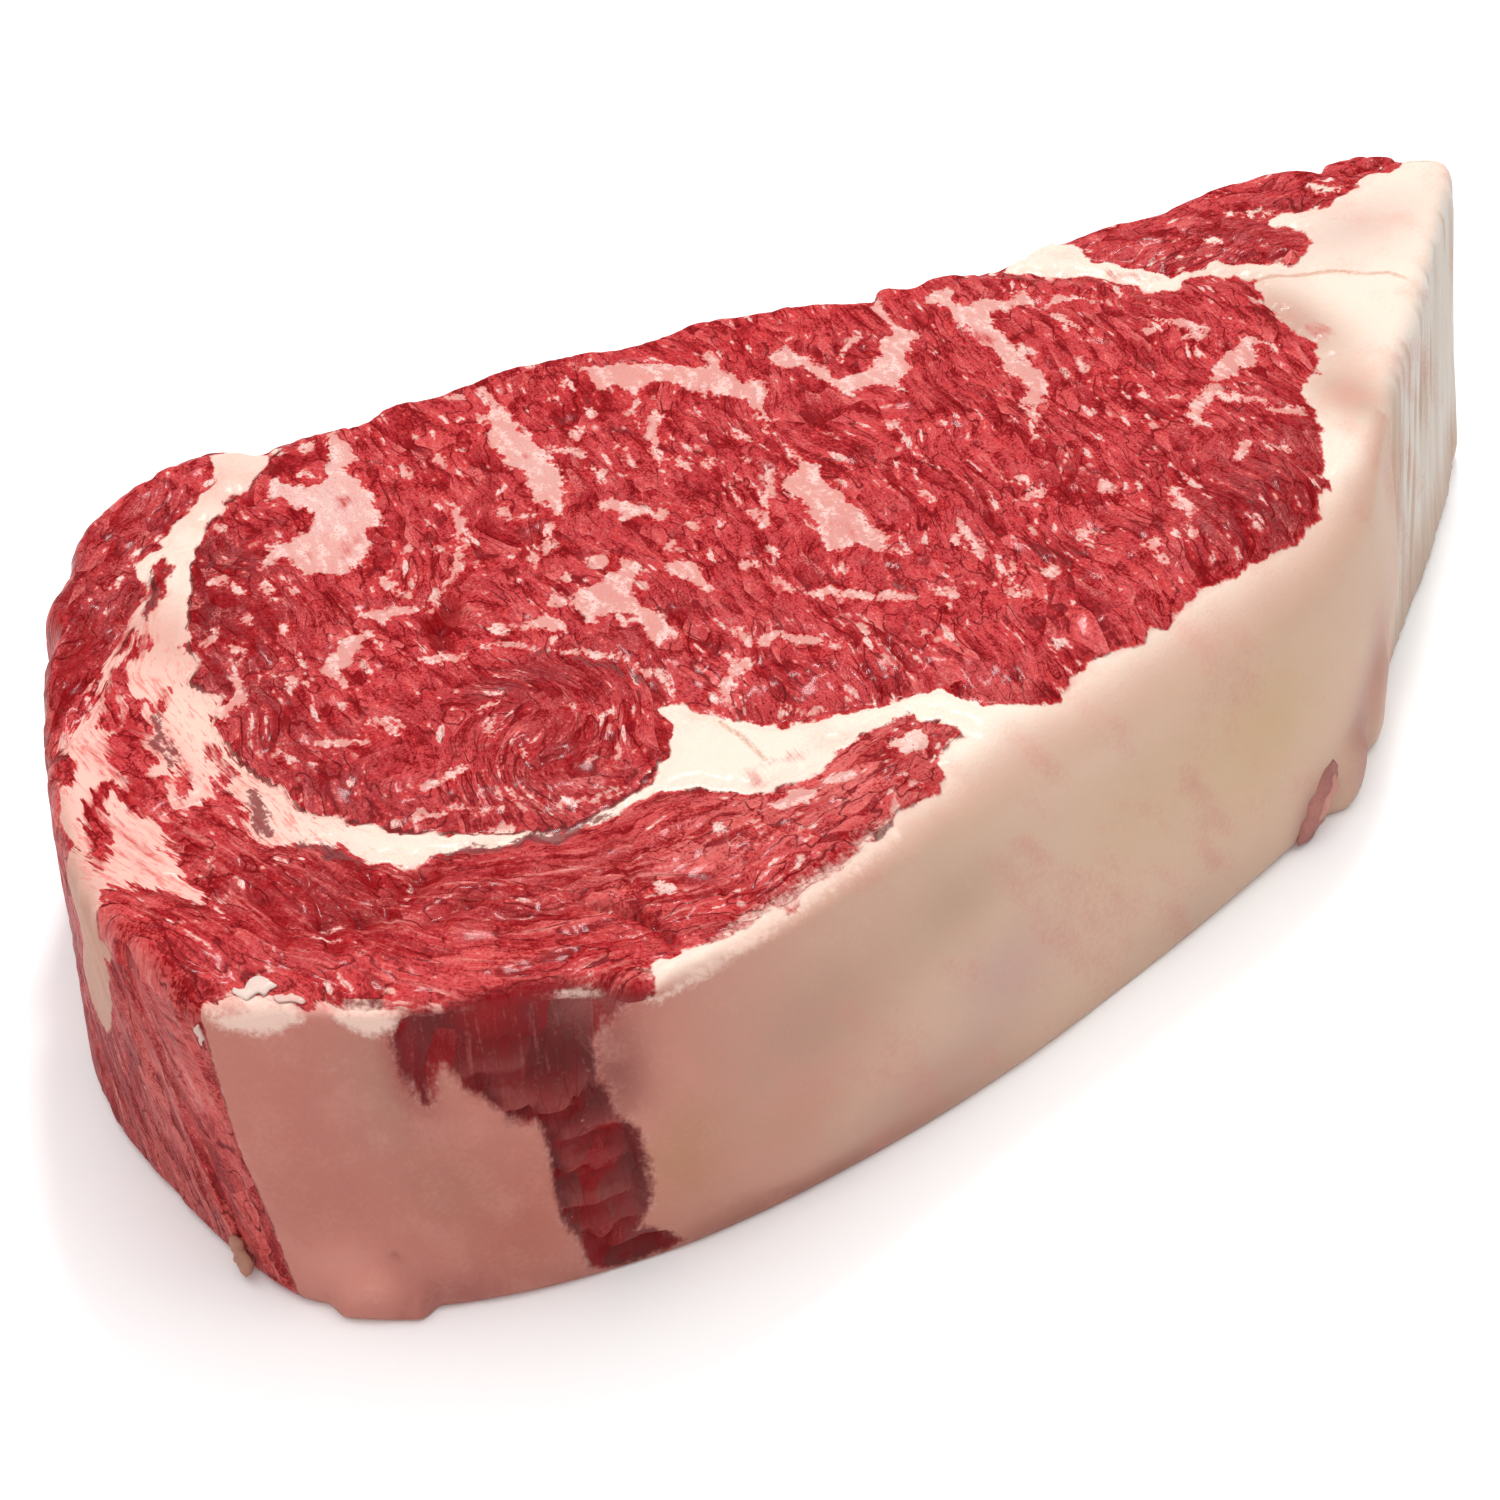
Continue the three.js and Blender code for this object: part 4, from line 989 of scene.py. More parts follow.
# The same on the fat inside the muscles
ISLAND_PATCHES = [
    (-52, 38, 9, 12, (210, 174, 167), 0.8), (-27, 29, 5, 8, (208, 167, 159), 0.5),
    (14, 22, 9, 9, (208, 165, 156), 0.5), (32, 22, 6, 12, (208, 165, 156), 0.5),
]
# The same on the narrow side, as y and height
SIDE_PATCHES = [
    (-5, 15, 6, 16, (122, 18, 24), 1), (-16, 36, 7, 5, (172, 26, 32), 1),
    (-21, 18, 5, 14, (200, 122, 116), 0.7), (-26, 10, 3, 12, (180, 66, 62), 0.5),
    (4, 12, 5, 12, (104, 14, 20), 0.9), (20, 20, 14, 14, (128, 30, 36), 0.7),
]
# The same on the near wall's fat, as x and height. These tints are partly the fat's own colour
# and partly painted shade on the wall; the pale band high up round x 0 is painted light on the
# rounded shoulder, and a long darker one lies along the foot
WALL_PATCHES = [
    (-97, 30, 5, 8, (178, 112, 101), 0.8), (-97, 18, 6, 9, (174, 110, 98), 0.8),
    (-90, 31, 4, 8, (165, 120, 105), 0.8), (-80, 12, 5, 9, (167, 100, 85), 0.8),
    (-86, 18, 5, 7, (163, 108, 93), 0.7), (-96, 6, 4, 5, (208, 139, 126), 0.8),
    (-87, 2.5, 5, 2.5, (155, 93, 88), 0.7), (-63, 16, 5, 10, (176, 125, 99), 0.9),
    (-46, 25, 13, 9, (165, 130, 112), 0.6), (-50, 14, 7, 6, (183, 135, 115), 0.7),
    (-29, 6, 14, 6, (170, 132, 122), 0.6), (-18, 15, 9, 7, (188, 153, 143), 0.8),
    (-25, 29, 10, 6, (182, 149, 128), 0.8), (9, 25, 14, 9, (200, 168, 141), 0.8),
    (13, 4, 10, 4, (192, 163, 145), 0.7), (26, 23, 10, 9, (197, 164, 129), 0.8),
    (0, 34, 20, 3, (214, 180, 159), 0.7), (-48, 1.5, 24, 2.2, (149, 95, 84), 0.8),
    (47, 7, 5, 7, (168, 118, 108), 0.9), (53, 14, 5, 8, (174, 130, 116), 0.8),
    (36, 4, 4, 5, (158, 112, 104), 0.8), (-87.5, 34, 2, 6, (143, 52, 53), 0.9),
    (-69.5, 31, 3, 8, (128, 70, 66), 0.8), (-76, 39, 9, 2.5, (153, 48, 49), 0.7),
]
# The same on the meat in the near wall's window
WINDOW_PATCHES = [
    (-79.5, 38, 3.2, 3.5, (150, 20, 26), 0.8), (-70, 38, 3.5, 3.5, (150, 84, 78), 0.8),
    (-87, 35, 1.5, 5, (150, 40, 44), 0.6), (-71, 8, 6, 7, (124, 66, 62), 0.8),
]
# Pale ragged skin along the near wall's top edge: x, height, half width
WALL_PALE_LINES = [
    [(-102.4, 39, 0.6), (-99, 39.2, 1.7), (-96.5, 39.8, 1)],
    [(-92.5, 39.6, 0.5), (-90.5, 39.2, 1.6), (-88.8, 39, 1.3)],
    [(-72.6, 39.8, 0.4), (-70, 39.8, 0.4)],
    [(-66, 38.6, 0.3), (-62, 39.2, 0.5), (-50, 39.4, 0.4), (-30, 39, 0.3)],
]
# The sliver of fat on the narrow side, as y and height, and how ragged its edge is
SLIVER_OUTLINE = [
    (-2, 40), (-10, 42), (-12.5, 36), (-10, 28), (-7, 21), (-3, 17), (1, 18.5), (0.6, 27), (-0.5, 33),
]
SLIVER_WAVES = (1.3, 2.1, 7.0)
SLIVER_FINE_WAVES = (0.6, 0.8, 3.0)
# Blood in the fat band, as soft ovals: x, y, half widths, strength
BLOOD_PATCHES = [
    (-89, 13, 4.5, 9, 1.0), (-92, 2, 4, 8, 0.9), (-84, -2, 3, 6, 0.6), (-98, -3, 4, 7, 0.9),
    (-90, 23, 4, 5, 0.7), (-80, 30, 3, 6, 0.5), (-88, -6, 4, 5, 0.8), (-94, 10, 3, 6, 0.7),
]
BLOOD_LEVEL = 0.75
# The band's red streaks are meat left of this x, and stains right of it
BAND_MEAT_EDGE = -70.0
# Faint brown lines in the broad fat: x, y, half width
FAT_TRACES = [
    [(65.4, 12.9, 0.3), (68, 11.3, 0.35), (73.3, 8.3, 0.35), (77.5, 6.7, 0.3), (80, 4.2, 0.3),
     (82.9, 2.5, 0.3), (83.5, 0.4, 0.25)],
    [(-35.8, -22, 0.25), (-35.6, -26, 0.3), (-35.8, -30.5, 0.25)],
    [(20, -36.4, 0.25), (34, -33.6, 0.3), (44, -30, 0.25)],
]
# Where the rib side's torn meat gives way to the end's fat, and how ragged that edge is
TORN_END = 80.0
TORN_END_WAVES = (5.0, 8.0)
TORN_END_FINE_WAVES = (2.0, 2.3, 9.0)
# Readings on the walls stay within this depth, so that they blend with the cut face's
WALL_DEPTH = 2.5
# Meat in the window counts only by this share of its depth, which makes the window's edge soft
WINDOW_SOFTNESS = 0.4
# The narrow side's stripes reach this far round the near corner
CORNER_MARGIN = 0.3
# How much painted shade darkens the gaps between flakes and the undercuts
CLEFT_SHADE = 0.3
UNDERCUT_SHADE = 0.9
END_STREAK_WAVES = (1.0, 1.7, 26.0)
# Marbling in the eye, and what it loses in the leaner muscles and in the curled one
MARBLING = 0.78
MARBLING_LOST = {"leaner": 0.12, "curl": 0.15}
# How much smoother than torn meat the fat of the walls is
SMOOTH_WALL = 0.65
# Slow patterns are read at places that slant with the height, so that walls aren't streaked
SLANT = 0.6
MOTTLE_SIZE = 4.5
MOTTLE_LAYERS = (0.28, 0.14, 0.07)
WANDER = 0.25
WANDER_SIZE = 6.7


def srgb(red, green, blue):
    """A colour as seen on a screen, 0 to 255, as the light that it stands for."""
    c = np.array((red, green, blue)) / 255
    return np.where(c <= 0.04045, c / 12.92, ((c + 0.055) / 1.055) ** 2.4)


def tinted(tint, shade, share):
    """A tint for each point, with a shade laid over it by a share from 0 to 1."""
    return tint + (srgb(*shade) - tint) * share[:, None]


def bell(x, y, at_x, at_y, wide, tall):
    """A soft oval: e to the minus square of the distance from its middle, in half widths."""
    return np.exp(-(((x - at_x) / wide) ** 2) - ((y - at_y) / tall) ** 2)


def patched(tint, patches, x, y, where):
    """Soft ovals laid over a tint, each by its strength and only where the skin is of that kind."""
    for px, py, wide, tall, shade, strength in patches:
        tint = tinted(tint, shade, strength * bell(x, y, px, py, wide, tall) * where)
    return tint


flat_x, flat_y, flat_z = drawn.T
count = len(drawn)
wall_count = posts * wall_rows
wall_share = np.zeros(count)
wall_share[:wall_count] = np.repeat(smoothstep(0.1, 1, np.arange(wall_rows) / RIM_STEPS), posts)
below_rim = wall_share == 1
on_cut = 1 - wall_share
side_of = np.full(count, -1)
side_of[:wall_count] = wall_side.ravel()
run_of = np.zeros(count)
run_of[:wall_count] = wall_run.ravel()
near_wall, end_wall, far_wall, left_wall = (
    wall_share * (side_of == side) for side in (FAT, END, FAR, LEFT)
)

place_x, place_y = ragged_place(flat_x, flat_y)
lean = deepest(place_x, place_y, MUSCLES)
vein = fat_vein_depth(place_x, place_y)
blood = vein_depth(place_x, place_y, RED_STREAKS)
lean = np.where(flat_x < BAND_MEAT_EDGE, np.maximum(lean, blood), lean)
for px, py, wide, tall, strength in BLOOD_PATCHES:
    away = ((flat_x - px) / wide) ** 2 + ((flat_y - py) / tall) ** 2
    blood = np.maximum(blood, strength * (1 - away) - BLOOD_LEVEL)
sinew = vein_depth(place_x, place_y, SINEWS)
pale = vein_depth(place_x, place_y, PALE_LINES)
trace = vein_depth(flat_x, flat_y, FAT_TRACES)
gap = face_flakes(flat_x, flat_y)[0]
in_meat = smoothstep(0, 1, lean) * (1 - smoothstep(-0.5, 0.2, vein))
# Painted shade: the creases and the gaps between the flakes are darkened, and below, the window's undercuts
painted_cleft_shade = crease_depth(place_x, place_y, CREASES)
painted_cleft_shade += CLEFT_SHADE * (1 - smoothstep(0.02, 0.26, gap)) * in_meat
across, along = fibre_run(flat_x, flat_y)
eye, upper_cap, lower_cap = (inside_depth(flat_x, flat_y, muscle) for muscle in (EYE, UPPER_CAP, LOWER_CAP))

# The walls read their own outlines instead. Round the rim one reading fades into the other
for values in (blood, sinew, pale, vein, trace):
    values -= FIELD_REACH * 2 * wall_share
painted_cleft_shade *= on_cut
window = inside_depth(flat_x, flat_z, WINDOW_OUTLINE)
sliver = inside_depth(flat_y, flat_z, SLIVER_OUTLINE)
sliver += waves(flat_y, flat_z, *SLIVER_WAVES) + waves(flat_y, flat_z, *SLIVER_FINE_WAVES, moved=(5, 0))
left_length = run_of[side_of == LEFT].max()
corner_run = np.where(side_of == LEFT, left_length - run_of, -run_of)
striped = np.minimum(corner_run + CORNER_MARGIN, -sliver)
torn_end = TORN_END + waves(flat_z, 0 * flat_z, *TORN_END_WAVES, moved=(0, 3.5))
torn_end += waves(flat_z, flat_x, *TORN_END_FINE_WAVES)
near_lean = np.maximum(WINDOW_SOFTNESS * window, corner_run)
lean = np.where((side_of == FAT) & below_rim, near_lean, lean)
lean = np.where((side_of == END) & below_rim, -FIELD_REACH, lean)
for side, own in ((LEFT, striped), (FAR, torn_end - flat_x)):
    of_cut, of_wall = (np.clip(depth, -WALL_DEPTH, WALL_DEPTH) for depth in (lean, own))
    lean = np.where(side_of == side, of_cut * on_cut + of_wall * wall_share, lean)
pale_edge = vein_depth(flat_x, flat_z, WALL_PALE_LINES)
pale = np.maximum(pale, np.where(side_of == FAT, pale_edge, -FIELD_REACH))
lips = np.zeros(count)
for lip, undercut in ledge_shapes(flat_x, flat_z):
    painted_cleft_shade += UNDERCUT_SHADE * undercut * near_wall
    lips += lip

lean_tint = np.tile(srgb(*EYE_RED), (count, 1))
lean_tint = patched(lean_tint, LEAN_PATCHES, flat_x, flat_y, on_cut)
lean_tint = tinted(lean_tint, WINDOW_RED, near_wall)
# Painted light: the lips of the window's ledges are tinted lighter than the meat round them
lean_tint = tinted(lean_tint, LIT_LIP_RED, np.clip(lips * 0.6 - 0.1, 0, 0.85) * near_wall)
lean_tint = patched(lean_tint, WINDOW_PATCHES, flat_x, flat_z, near_wall)
lean_tint = tinted(lean_tint, WALL_RED, far_wall + left_wall)
lean_tint = patched(lean_tint, SIDE_PATCHES, flat_y, flat_z, left_wall)

fat_tint = np.tile(srgb(*SEAM_FAT), (count, 1))
fat_tint = tinted(fat_tint, VEIN_FAT, smoothstep(0, 1, np.maximum(eye, lower_cap)))
fat_tint = tinted(fat_tint, BAND_FAT, smoothstep(-78, -88, flat_x))
fat_tint = patched(fat_tint, FAT_PATCHES, flat_x, flat_y, smoothstep(1, 0, eye))
fat_tint = patched(fat_tint, ISLAND_PATCHES, flat_x, flat_y, smoothstep(0, 1, eye))
# The walls' fat: partly its own browner colour, partly painted shade that darkens the near wall
fat_tint = tinted(fat_tint, SHADED_SLAB_FAT, near_wall)
fat_tint = tinted(fat_tint, SHADED_CAP_FAT, smoothstep(-80, -20, flat_x) * near_wall)
fat_tint = patched(fat_tint, WALL_PATCHES, flat_x, flat_z, near_wall)
fat_tint = tinted(fat_tint, END_FAT, end_wall)
end_streaks = 0.8 * smoothstep(0, 0.7, waves(run_of, flat_z, *END_STREAK_WAVES, moved=(4, 0)))
fat_tint = tinted(fat_tint, END_STREAK, end_streaks * end_wall)
fat_tint = tinted(fat_tint, SHADED_CAP_FAT, smoothstep(7, 0, run_of) * end_wall)
fat_tint = tinted(fat_tint, END_STREAK, smoothstep(14, 4, flat_z) * 0.7 * end_wall)
fat_tint = tinted(fat_tint, SLIVER_FAT, left_wall)

# How much marbling there is, where strings of sinew show, and where the fat is streaked or smooth
near_cap = smoothstep(0, 2, lower_cap) * smoothstep(-45, -65, flat_x)
leaner = np.maximum(near_cap, smoothstep(-1, 1, upper_cap))
in_curl = bell(flat_x, flat_y, *CURL_CENTRE, 10, 8)
marbled = on_cut * (MARBLING - MARBLING_LOST["leaner"] * leaner - MARBLING_LOST["curl"] * in_curl)
stringy = np.maximum.reduce([
    0.95 * (left_wall + far_wall),
    0.9 * on_cut * smoothstep(0, 2, lower_cap),
    0.7 * on_cut * bell(flat_x, flat_y, -62, -21, 12, 4),
    0.35 * near_wall * smoothstep(0, 1, window) * smoothstep(26, 34, flat_z),
])
streaky = smoothstep(-72, -84, flat_x) * smoothstep(46, 20, flat_y) * on_cut
torn = 1 - SMOOTH_WALL * (near_wall + end_wall)


def mottled(x, y):
    """Three layers of noise, each with half the size and half the strength of the one before."""
    broad, middle, fine = MOTTLE_LAYERS
    layers = waves(x, y, broad, MOTTLE_SIZE) + waves(x, y, middle, MOTTLE_SIZE / 2, moved=(7, 0))
    return layers + waves(x, y, fine, MOTTLE_SIZE / 4, moved=(0, 3))


slant_x, slant_y = flat_x + SLANT * flat_z, flat_y + SLANT * flat_z
mottle = mottled(slant_x, slant_y)
wander = (marbled * 6 + 0.8)[:, None] * np.column_stack([
    waves(slant_x, slant_y, WANDER, WANDER_SIZE, moved=(shift, 0)) for shift in (0, 19)
])


def keep_field(mesh, name, values, kind="FLOAT", domain="POINT"):
    """Stores one number, vector or colour for each point of a mesh, or for each face's corner."""
    attribute = mesh.attributes.new(name, kind, domain)
    values = np.asarray(values, np.float32)
    if kind == "FLOAT_COLOR":
        values = np.column_stack([values, np.ones(len(values), np.float32)])
    key = {"FLOAT": "value", "FLOAT_VECTOR": "vector", "FLOAT_COLOR": "color"}[kind]
    attribute.data.foreach_set(key, np.ascontiguousarray(values, np.float32).ravel())


def points_at_corners(mesh):
    """The point at each corner of each face."""
    found = np.zeros(len(mesh.loops), int)
    mesh.loops.foreach_get("vertex_index", found)
    return found


skin_fields = {
    "lean": lean, "vein": vein, "blood": blood, "sinew": sinew, "pale": pale, "trace": trace,
    "painted_cleft_shade": painted_cleft_shade, "marbled": marbled, "stringy": stringy, "torn": torn, "streaky": streaky,
    "mottle": mottle,
}
for name, values in skin_fields.items():
    keep_field(steak_mesh, name, values)
keep_field(steak_mesh, "lean_tint", lean_tint, "FLOAT_COLOR")
keep_field(steak_mesh, "fat_tint", fat_tint, "FLOAT_COLOR")

# The cut face's fibres end at the rim, so each corner of a face reads the face's own fibres.
# The faces of the cut and its rim come first, then the wall's, which read run and height
corner_points = points_at_corners(steak_mesh)
cut_cells = CELLS_ALONG * CELLS_ACROSS + posts * RIM_STEPS
wall_cells = posts * (wall_rows - 1 - RIM_STEPS)
corner_cell = np.arange(len(corner_points)) // 4
corner_on_wall = (corner_cell >= cut_cells) & (corner_cell < cut_cells + wall_cells)
cut_grain = np.column_stack([across, along, 0 * along])
stripe_shift = STRIPE_LEAN * flat_z * smoothstep(0, 10, np.minimum(run_of, left_length - run_of))
round_rim = ring["round"][np.arange(count) % posts] + stripe_shift * (side_of == LEFT)
wall_grain = np.column_stack([round_rim, flat_z, 0 * flat_z])
grain_values = np.where(corner_on_wall[:, None], wall_grain[corner_points], cut_grain[corner_points])
# The last column of cells ends at the first post again, once round the ring
last_column = (corner_cell - cut_cells) % posts == posts - 1
closing = corner_on_wall & last_column & (corner_points % posts == 0)
grain_values[closing, 0] += ring["round"][-1] + np.linalg.norm(ring["edge"][0] - ring["edge"][-1])
grain_values[:, :2] += wander[corner_points]
keep_field(steak_mesh, "grain", grain_values, "FLOAT_VECTOR", "CORNER")


# The finish of the meat and the fat
# Wet raw beef: red fibres in bundles with clefts between them that are darkened by painted shade,
# grains of white fat that lie along the fibres, a bright red margin where meat meets fat, and a film of
# juice over all.
MM = 0.001
CRUMB_PER_METRE = 1700
# Cells across and along the fibres
BUNDLES_PER_MM = (0.42, 0.17, 0)
DOTS_PER_MM = (0.4, 0.23, 0)
SPECKS_PER_MM = (0.85, 0.5, 0)
ROUGHNESS = 0.4
JUICE_COAT = 0.11
JUICE_ROUGHNESS = 0.14
SHEEN = 0.04
# How far light goes into the flesh, for red, green and blue, and how much of it does
FLESH_DEPTH = {"Weight": 0.22, "Radius": (1.0, 0.35, 0.25), "Scale": 0.002}
BUMP_STRENGTH = 0.9


class Shade:
    """A socket of the material that is being built. Sums and products add Math nodes."""

    tree = None

    def __init__(self, socket):
        self.socket = socket

    @classmethod
    def node(cls, kind, settings, sockets, out=0):
        """A node of a type, its settings first, then the values or links of its sockets."""
        made = cls.tree.nodes.new(kind)
        for name, value in settings.items():
            setattr(made, name, value)
        for name, value in sockets.items():
            if isinstance(value, Shade):
                cls.tree.links.new(value.socket, made.inputs[name])
            else:
                made.inputs[name].default_value = value
        return cls(made.outputs[out])

    def math(self, operation, first, second):
        return self.node("ShaderNodeMath", {"operation": operation}, {0: first, 1: second})

    def __add__(self, other):
        return self.math("ADD", self, other)

    __radd__ = __add__

    def __mul__(self, other):
        return self.math("MULTIPLY", self, other)

    __rmul__ = __mul__

    def __sub__(self, other):
        return self.math("SUBTRACT", self, other)

    def __rsub__(self, other):
        return self.math("SUBTRACT", other, self)

    def __neg__(self):
        return self.math("MULTIPLY", self, -1.0)

    def output(self, out):
        """Another output of the same node."""
        return Shade(self.socket.node.outputs[out])

    def over(self, other):
        """The larger of the two."""
        return self.math("MAXIMUM", self, other)

    def size(self):
        """The number without its sign."""
        return self.node("ShaderNodeMath", {"operation": "ABSOLUTE"}, {0: self})

    def step(self, low, high):
        """0 at low, 1 at high, smooth between."""
        sockets = {"Value": self, "From Min": low, "From Max": high}
        return self.node("ShaderNodeMapRange", {"interpolation_type": "SMOOTHSTEP"}, sockets)


def field(name, out=2):
    """One of the skin's fields: a number by its output 2, a colour by 0, a vector by 1."""
    return Shade.node("ShaderNodeAttribute", {"attribute_name": name}, {}, out)


def vector_math(operation, first, second):
    return Shade.node("ShaderNodeVectorMath", {"operation": operation}, {0: first, 1: second})


def clouds(place, stretch, detail, roughness, dimensions="2D"):
    """Noise round 0, about -0.5 to 0.5. Stretch says how many clouds there are to each unit."""
    stretched = vector_math("MULTIPLY", place, stretch)
    sockets = {"Vector": stretched, "Scale": 1.0, "Detail": detail, "Roughness": roughness}
    return Shade.node("ShaderNodeTexNoise", {"noise_dimensions": dimensions}, sockets) - 0.5


def cells(place, stretch):
    """Cells round strewn points: the distance to the nearest, its colour and its place."""
    sockets = {"Vector": vector_math("MULTIPLY", place, stretch), "Scale": 1.0}
    return Shade.node("ShaderNodeTexVoronoi", {"voronoi_dimensions": "2D"}, sockets)


def grey(tone):
    return Shade.node("ShaderNodeRGBToBW", {}, {0: tone})


def layer(share, under, over, name=""):
    """One colour laid over another by a share from 0 to 1."""
    settings = {"data_type": "RGBA", "label": name}
    return Shade.node("ShaderNodeMix", settings, {0: share, 6: under, 7: over}, 2)


def coated(base, coats):
    """Coats laid over a base one after another. Each has a name, its share and its colour."""
    for name, (share, tone) in coats.items():
        base = layer(share, base, (*srgb(*tone), 1), name)
    return base


raw_beef = bpy.data.materials.new("raw_beef")
raw_beef.use_nodes = True
Shade.tree = raw_beef.node_tree

# The skin's fields, as the finish reads them
grain = field("grain", 1)
lean, painted_cleft_shade = field("lean"), field("painted_cleft_shade")
marbled, mottle = field("marbled"), field("mottle")
torn, stringy, streaky = field("torn"), field("stringy"), field("streaky")

# Noise across and along the fibres, in clouds to the millimetre, and one kind by place alone
ragged = clouds(grain, (0.8, 0.3, 0), 2.0, 0.6)
grit = clouds(grain, (3.8, 3.4, 0), 1.0, 0.6)
fibres = clouds(grain, (2.1, 0.45, 0), 2.0, 0.7)
flecks = clouds(grain, (0.7, 0.27, 0), 2.0, 0.45)
strings = clouds(grain, (1.0, 0.1, 0), 3.0, 0.62)
arcs = clouds(grain, (0.46, 0.2, 0), 1.0, 0.4)
crumb = clouds(Shade.node("ShaderNodeTexCoord", {}, {}, 3), [CRUMB_PER_METRE] * 3, 2.0, 0.62, "3D")

# Bundles of fibres, each a facet that slopes its own way, and cells for the dots and specks of fat
bundle = cells(grain, BUNDLES_PER_MM)
bundle_tone = grey(bundle.output(1)) - 0.5
from_middle = vector_math("SUBTRACT", vector_math("MULTIPLY", grain, BUNDLES_PER_MM), bundle.output(2))
slope = vector_math("SUBTRACT", bundle.output(1), (0.5, 0.5, 0.5))
facet = vector_math("DOT_PRODUCT", from_middle, slope).output(1)
dots = cells(grain, DOTS_PER_MM)
dot_size = grey(dots.output(1))
specks = cells(grain, SPECKS_PER_MM)
speck_size = grey(specks.output(1))

# Depth inside fat of any kind, in millimetres
seam_fat = (ragged * 1.2 + crumb * 0.8) * (torn * 0.9 + 0.1) + streaky * strings * 6.0 - lean
vein_fat = field("vein") + ragged * 1.6 + crumb * 1.9
fleck_fat = (flecks + crumb * 0.3 + mottle * 0.3 + marbled * 0.2 - 0.37) * 4.2
dot_fat = (dot_size * 0.8 + marbled * 0.5 + mottle * 0.5 - dots - 0.94) * 2.6 + crumb * 1.1 + ragged * 0.4
string_fat = (strings + crumb * 0.2 + stringy * 0.3 - 0.5) * 2.0
speck_fat = (speck_size * 0.9 + marbled * 0.2 + mottle * 0.4 - specks - 0.83) * 1.6 + crumb * 0.5
fat_depth = speck_fat.over(seam_fat).over(vein_fat).over(fleck_fat).over(string_fat).over(dot_fat)
fat_share = fat_depth.step(-0.15, 0.3)

# Meat: its tint, then bundles, fibres, strings and cracks over it. The tone takes in each bundle's
# slope, so the coats of shade and light among the fibres are partly painted light and shade on the
# bundles' slopes and partly the fibres' own random tone, and the arched cracks are darkened partly
# as painted shade in their grooves
grainy = torn.step(0.35, 0.8)
tone = fibres * 0.55 + grit * 0.8 + crumb * 0.7 + flecks * 0.6 + facet * 0.9
cracks_here = (ragged + mottle * 0.9).step(-0.1, 0.08)
arched_crack = (arcs + crumb * 0.05).size().step(0.028, 0.006) * cracks_here
fine_crack = fibres.size().step(0.022, 0.0) * (crumb + ragged).step(-0.1, 0.2)
meat = coated(field("lean_tint", 0), {
    "bundles in shade": (bundle_tone.step(0.0, 0.35) * 0.6, (140, 18, 26)),
    "bundles in light": ((-bundle_tone).step(0.05, 0.4) * 0.25 * grainy, (210, 92, 90)),
    "shade among fibres": ((-tone).step(-0.04, 0.26) * (grainy * 0.75 + 0.15), (136, 5, 13)),
    "deepest shade": ((-tone).step(0.14, 0.4) * grainy * 0.6, (104, 1, 8)),
    "light on fibres": (tone.step(0.08, 0.4) * (grainy * 0.5 + 0.08), (218, 122, 116)),
    "bright margin of the fat": (fat_depth.step(-0.7, -0.05) * 0.4 * grainy, (196, 44, 46)),
    "pale strings": ((strings + crumb * 0.4).step(0.03, 0.3) * stringy * 0.6, (216, 132, 125)),
    "dark strings": ((-strings).step(0.04, 0.3) * stringy * 0.6, (148, 16, 22)),
    "arched cracks": (arched_crack * 0.9 * torn, (112, 2, 8)),
    "fine cracks": (fine_crack * 0.45 * torn, (134, 5, 12)),
    # Painted shade in the clefts: the creases, the gaps between flakes and the undercuts below the window's
    # lips
    "clefts": (painted_cleft_shade.step(0.1, 0.9) * 0.6, (134, 4, 10)),
    "deep clefts": (painted_cleft_shade.step(0.8, 1.9) * 0.6, (100, 4, 10)),
})

# Fat: its tint, then what shows in the meat's fat, in the band and on the smooth walls
in_muscle = lean.step(-0.6, 0.8)
smooth_share = (1 - torn) * (1 - in_muscle)
lobes = flecks + crumb * 0.3
margin = (fat_depth - crumb * 0.5).step(0.4, -0.15) * (in_muscle * 0.3 + 0.3)
cloudy_dark = (mottle + crumb * 0.7 + grit * 0.2).step(-0.05, 0.6)
cloudy_light = (crumb * 0.8 - mottle).step(0.05, 0.7)
bloody = (field("blood") * 0.8 + strings * 2.2 + fibres * 1.1 + crumb * 0.5).step(-0.6, 1.3)
fat = coated(field("fat_tint", 0), {
    "mottling": ((mottle * 1.4 + crumb * 0.8).step(-0.1, 0.6) * 0.35, (212, 150, 136)),
    "pink grit": ((crumb + grit * 0.8).step(-0.02, 0.24) * 0.6 * in_muscle, (206, 122, 114)),
    "pale lobes": ((lobes + crumb * 0.5).step(-0.05, 0.26) * 0.6 * in_muscle, (230, 206, 198)),
    "pink streaks": ((strings * 0.8 + fibres).step(0.02, 0.3) * 0.75 * streaky, (216, 112, 104)),
    "red grit": ((grit + lobes * 0.6).step(0.2, 0.34) * 0.6 * in_muscle, (178, 62, 58)),
    "pink margin": (margin * torn, (206, 96, 90)),
    "brown clouds": (cloudy_dark * 0.3 * smooth_share, (150, 100, 88)),
    "pale clouds": (cloudy_light * 0.3 * smooth_share, (216, 180, 158)),
    "blood": (bloody * 0.9, (178, 42, 46)),
    "thick blood": (bloody.step(0.6, 1.0) * 0.5, (146, 18, 24)),
    "faint lines": ((field("trace") + crumb * 0.5).step(-0.3, 0.2) * 0.6, (180, 124, 100)),
})
sinew = (field("sinew") + strings * 1.6 + fibres * 1.2 + crumb * 1.6).step(-0.1, 0.45)
pale = (field("pale") + crumb * 1.8 + strings * 1.4).step(-0.6, 0.9)
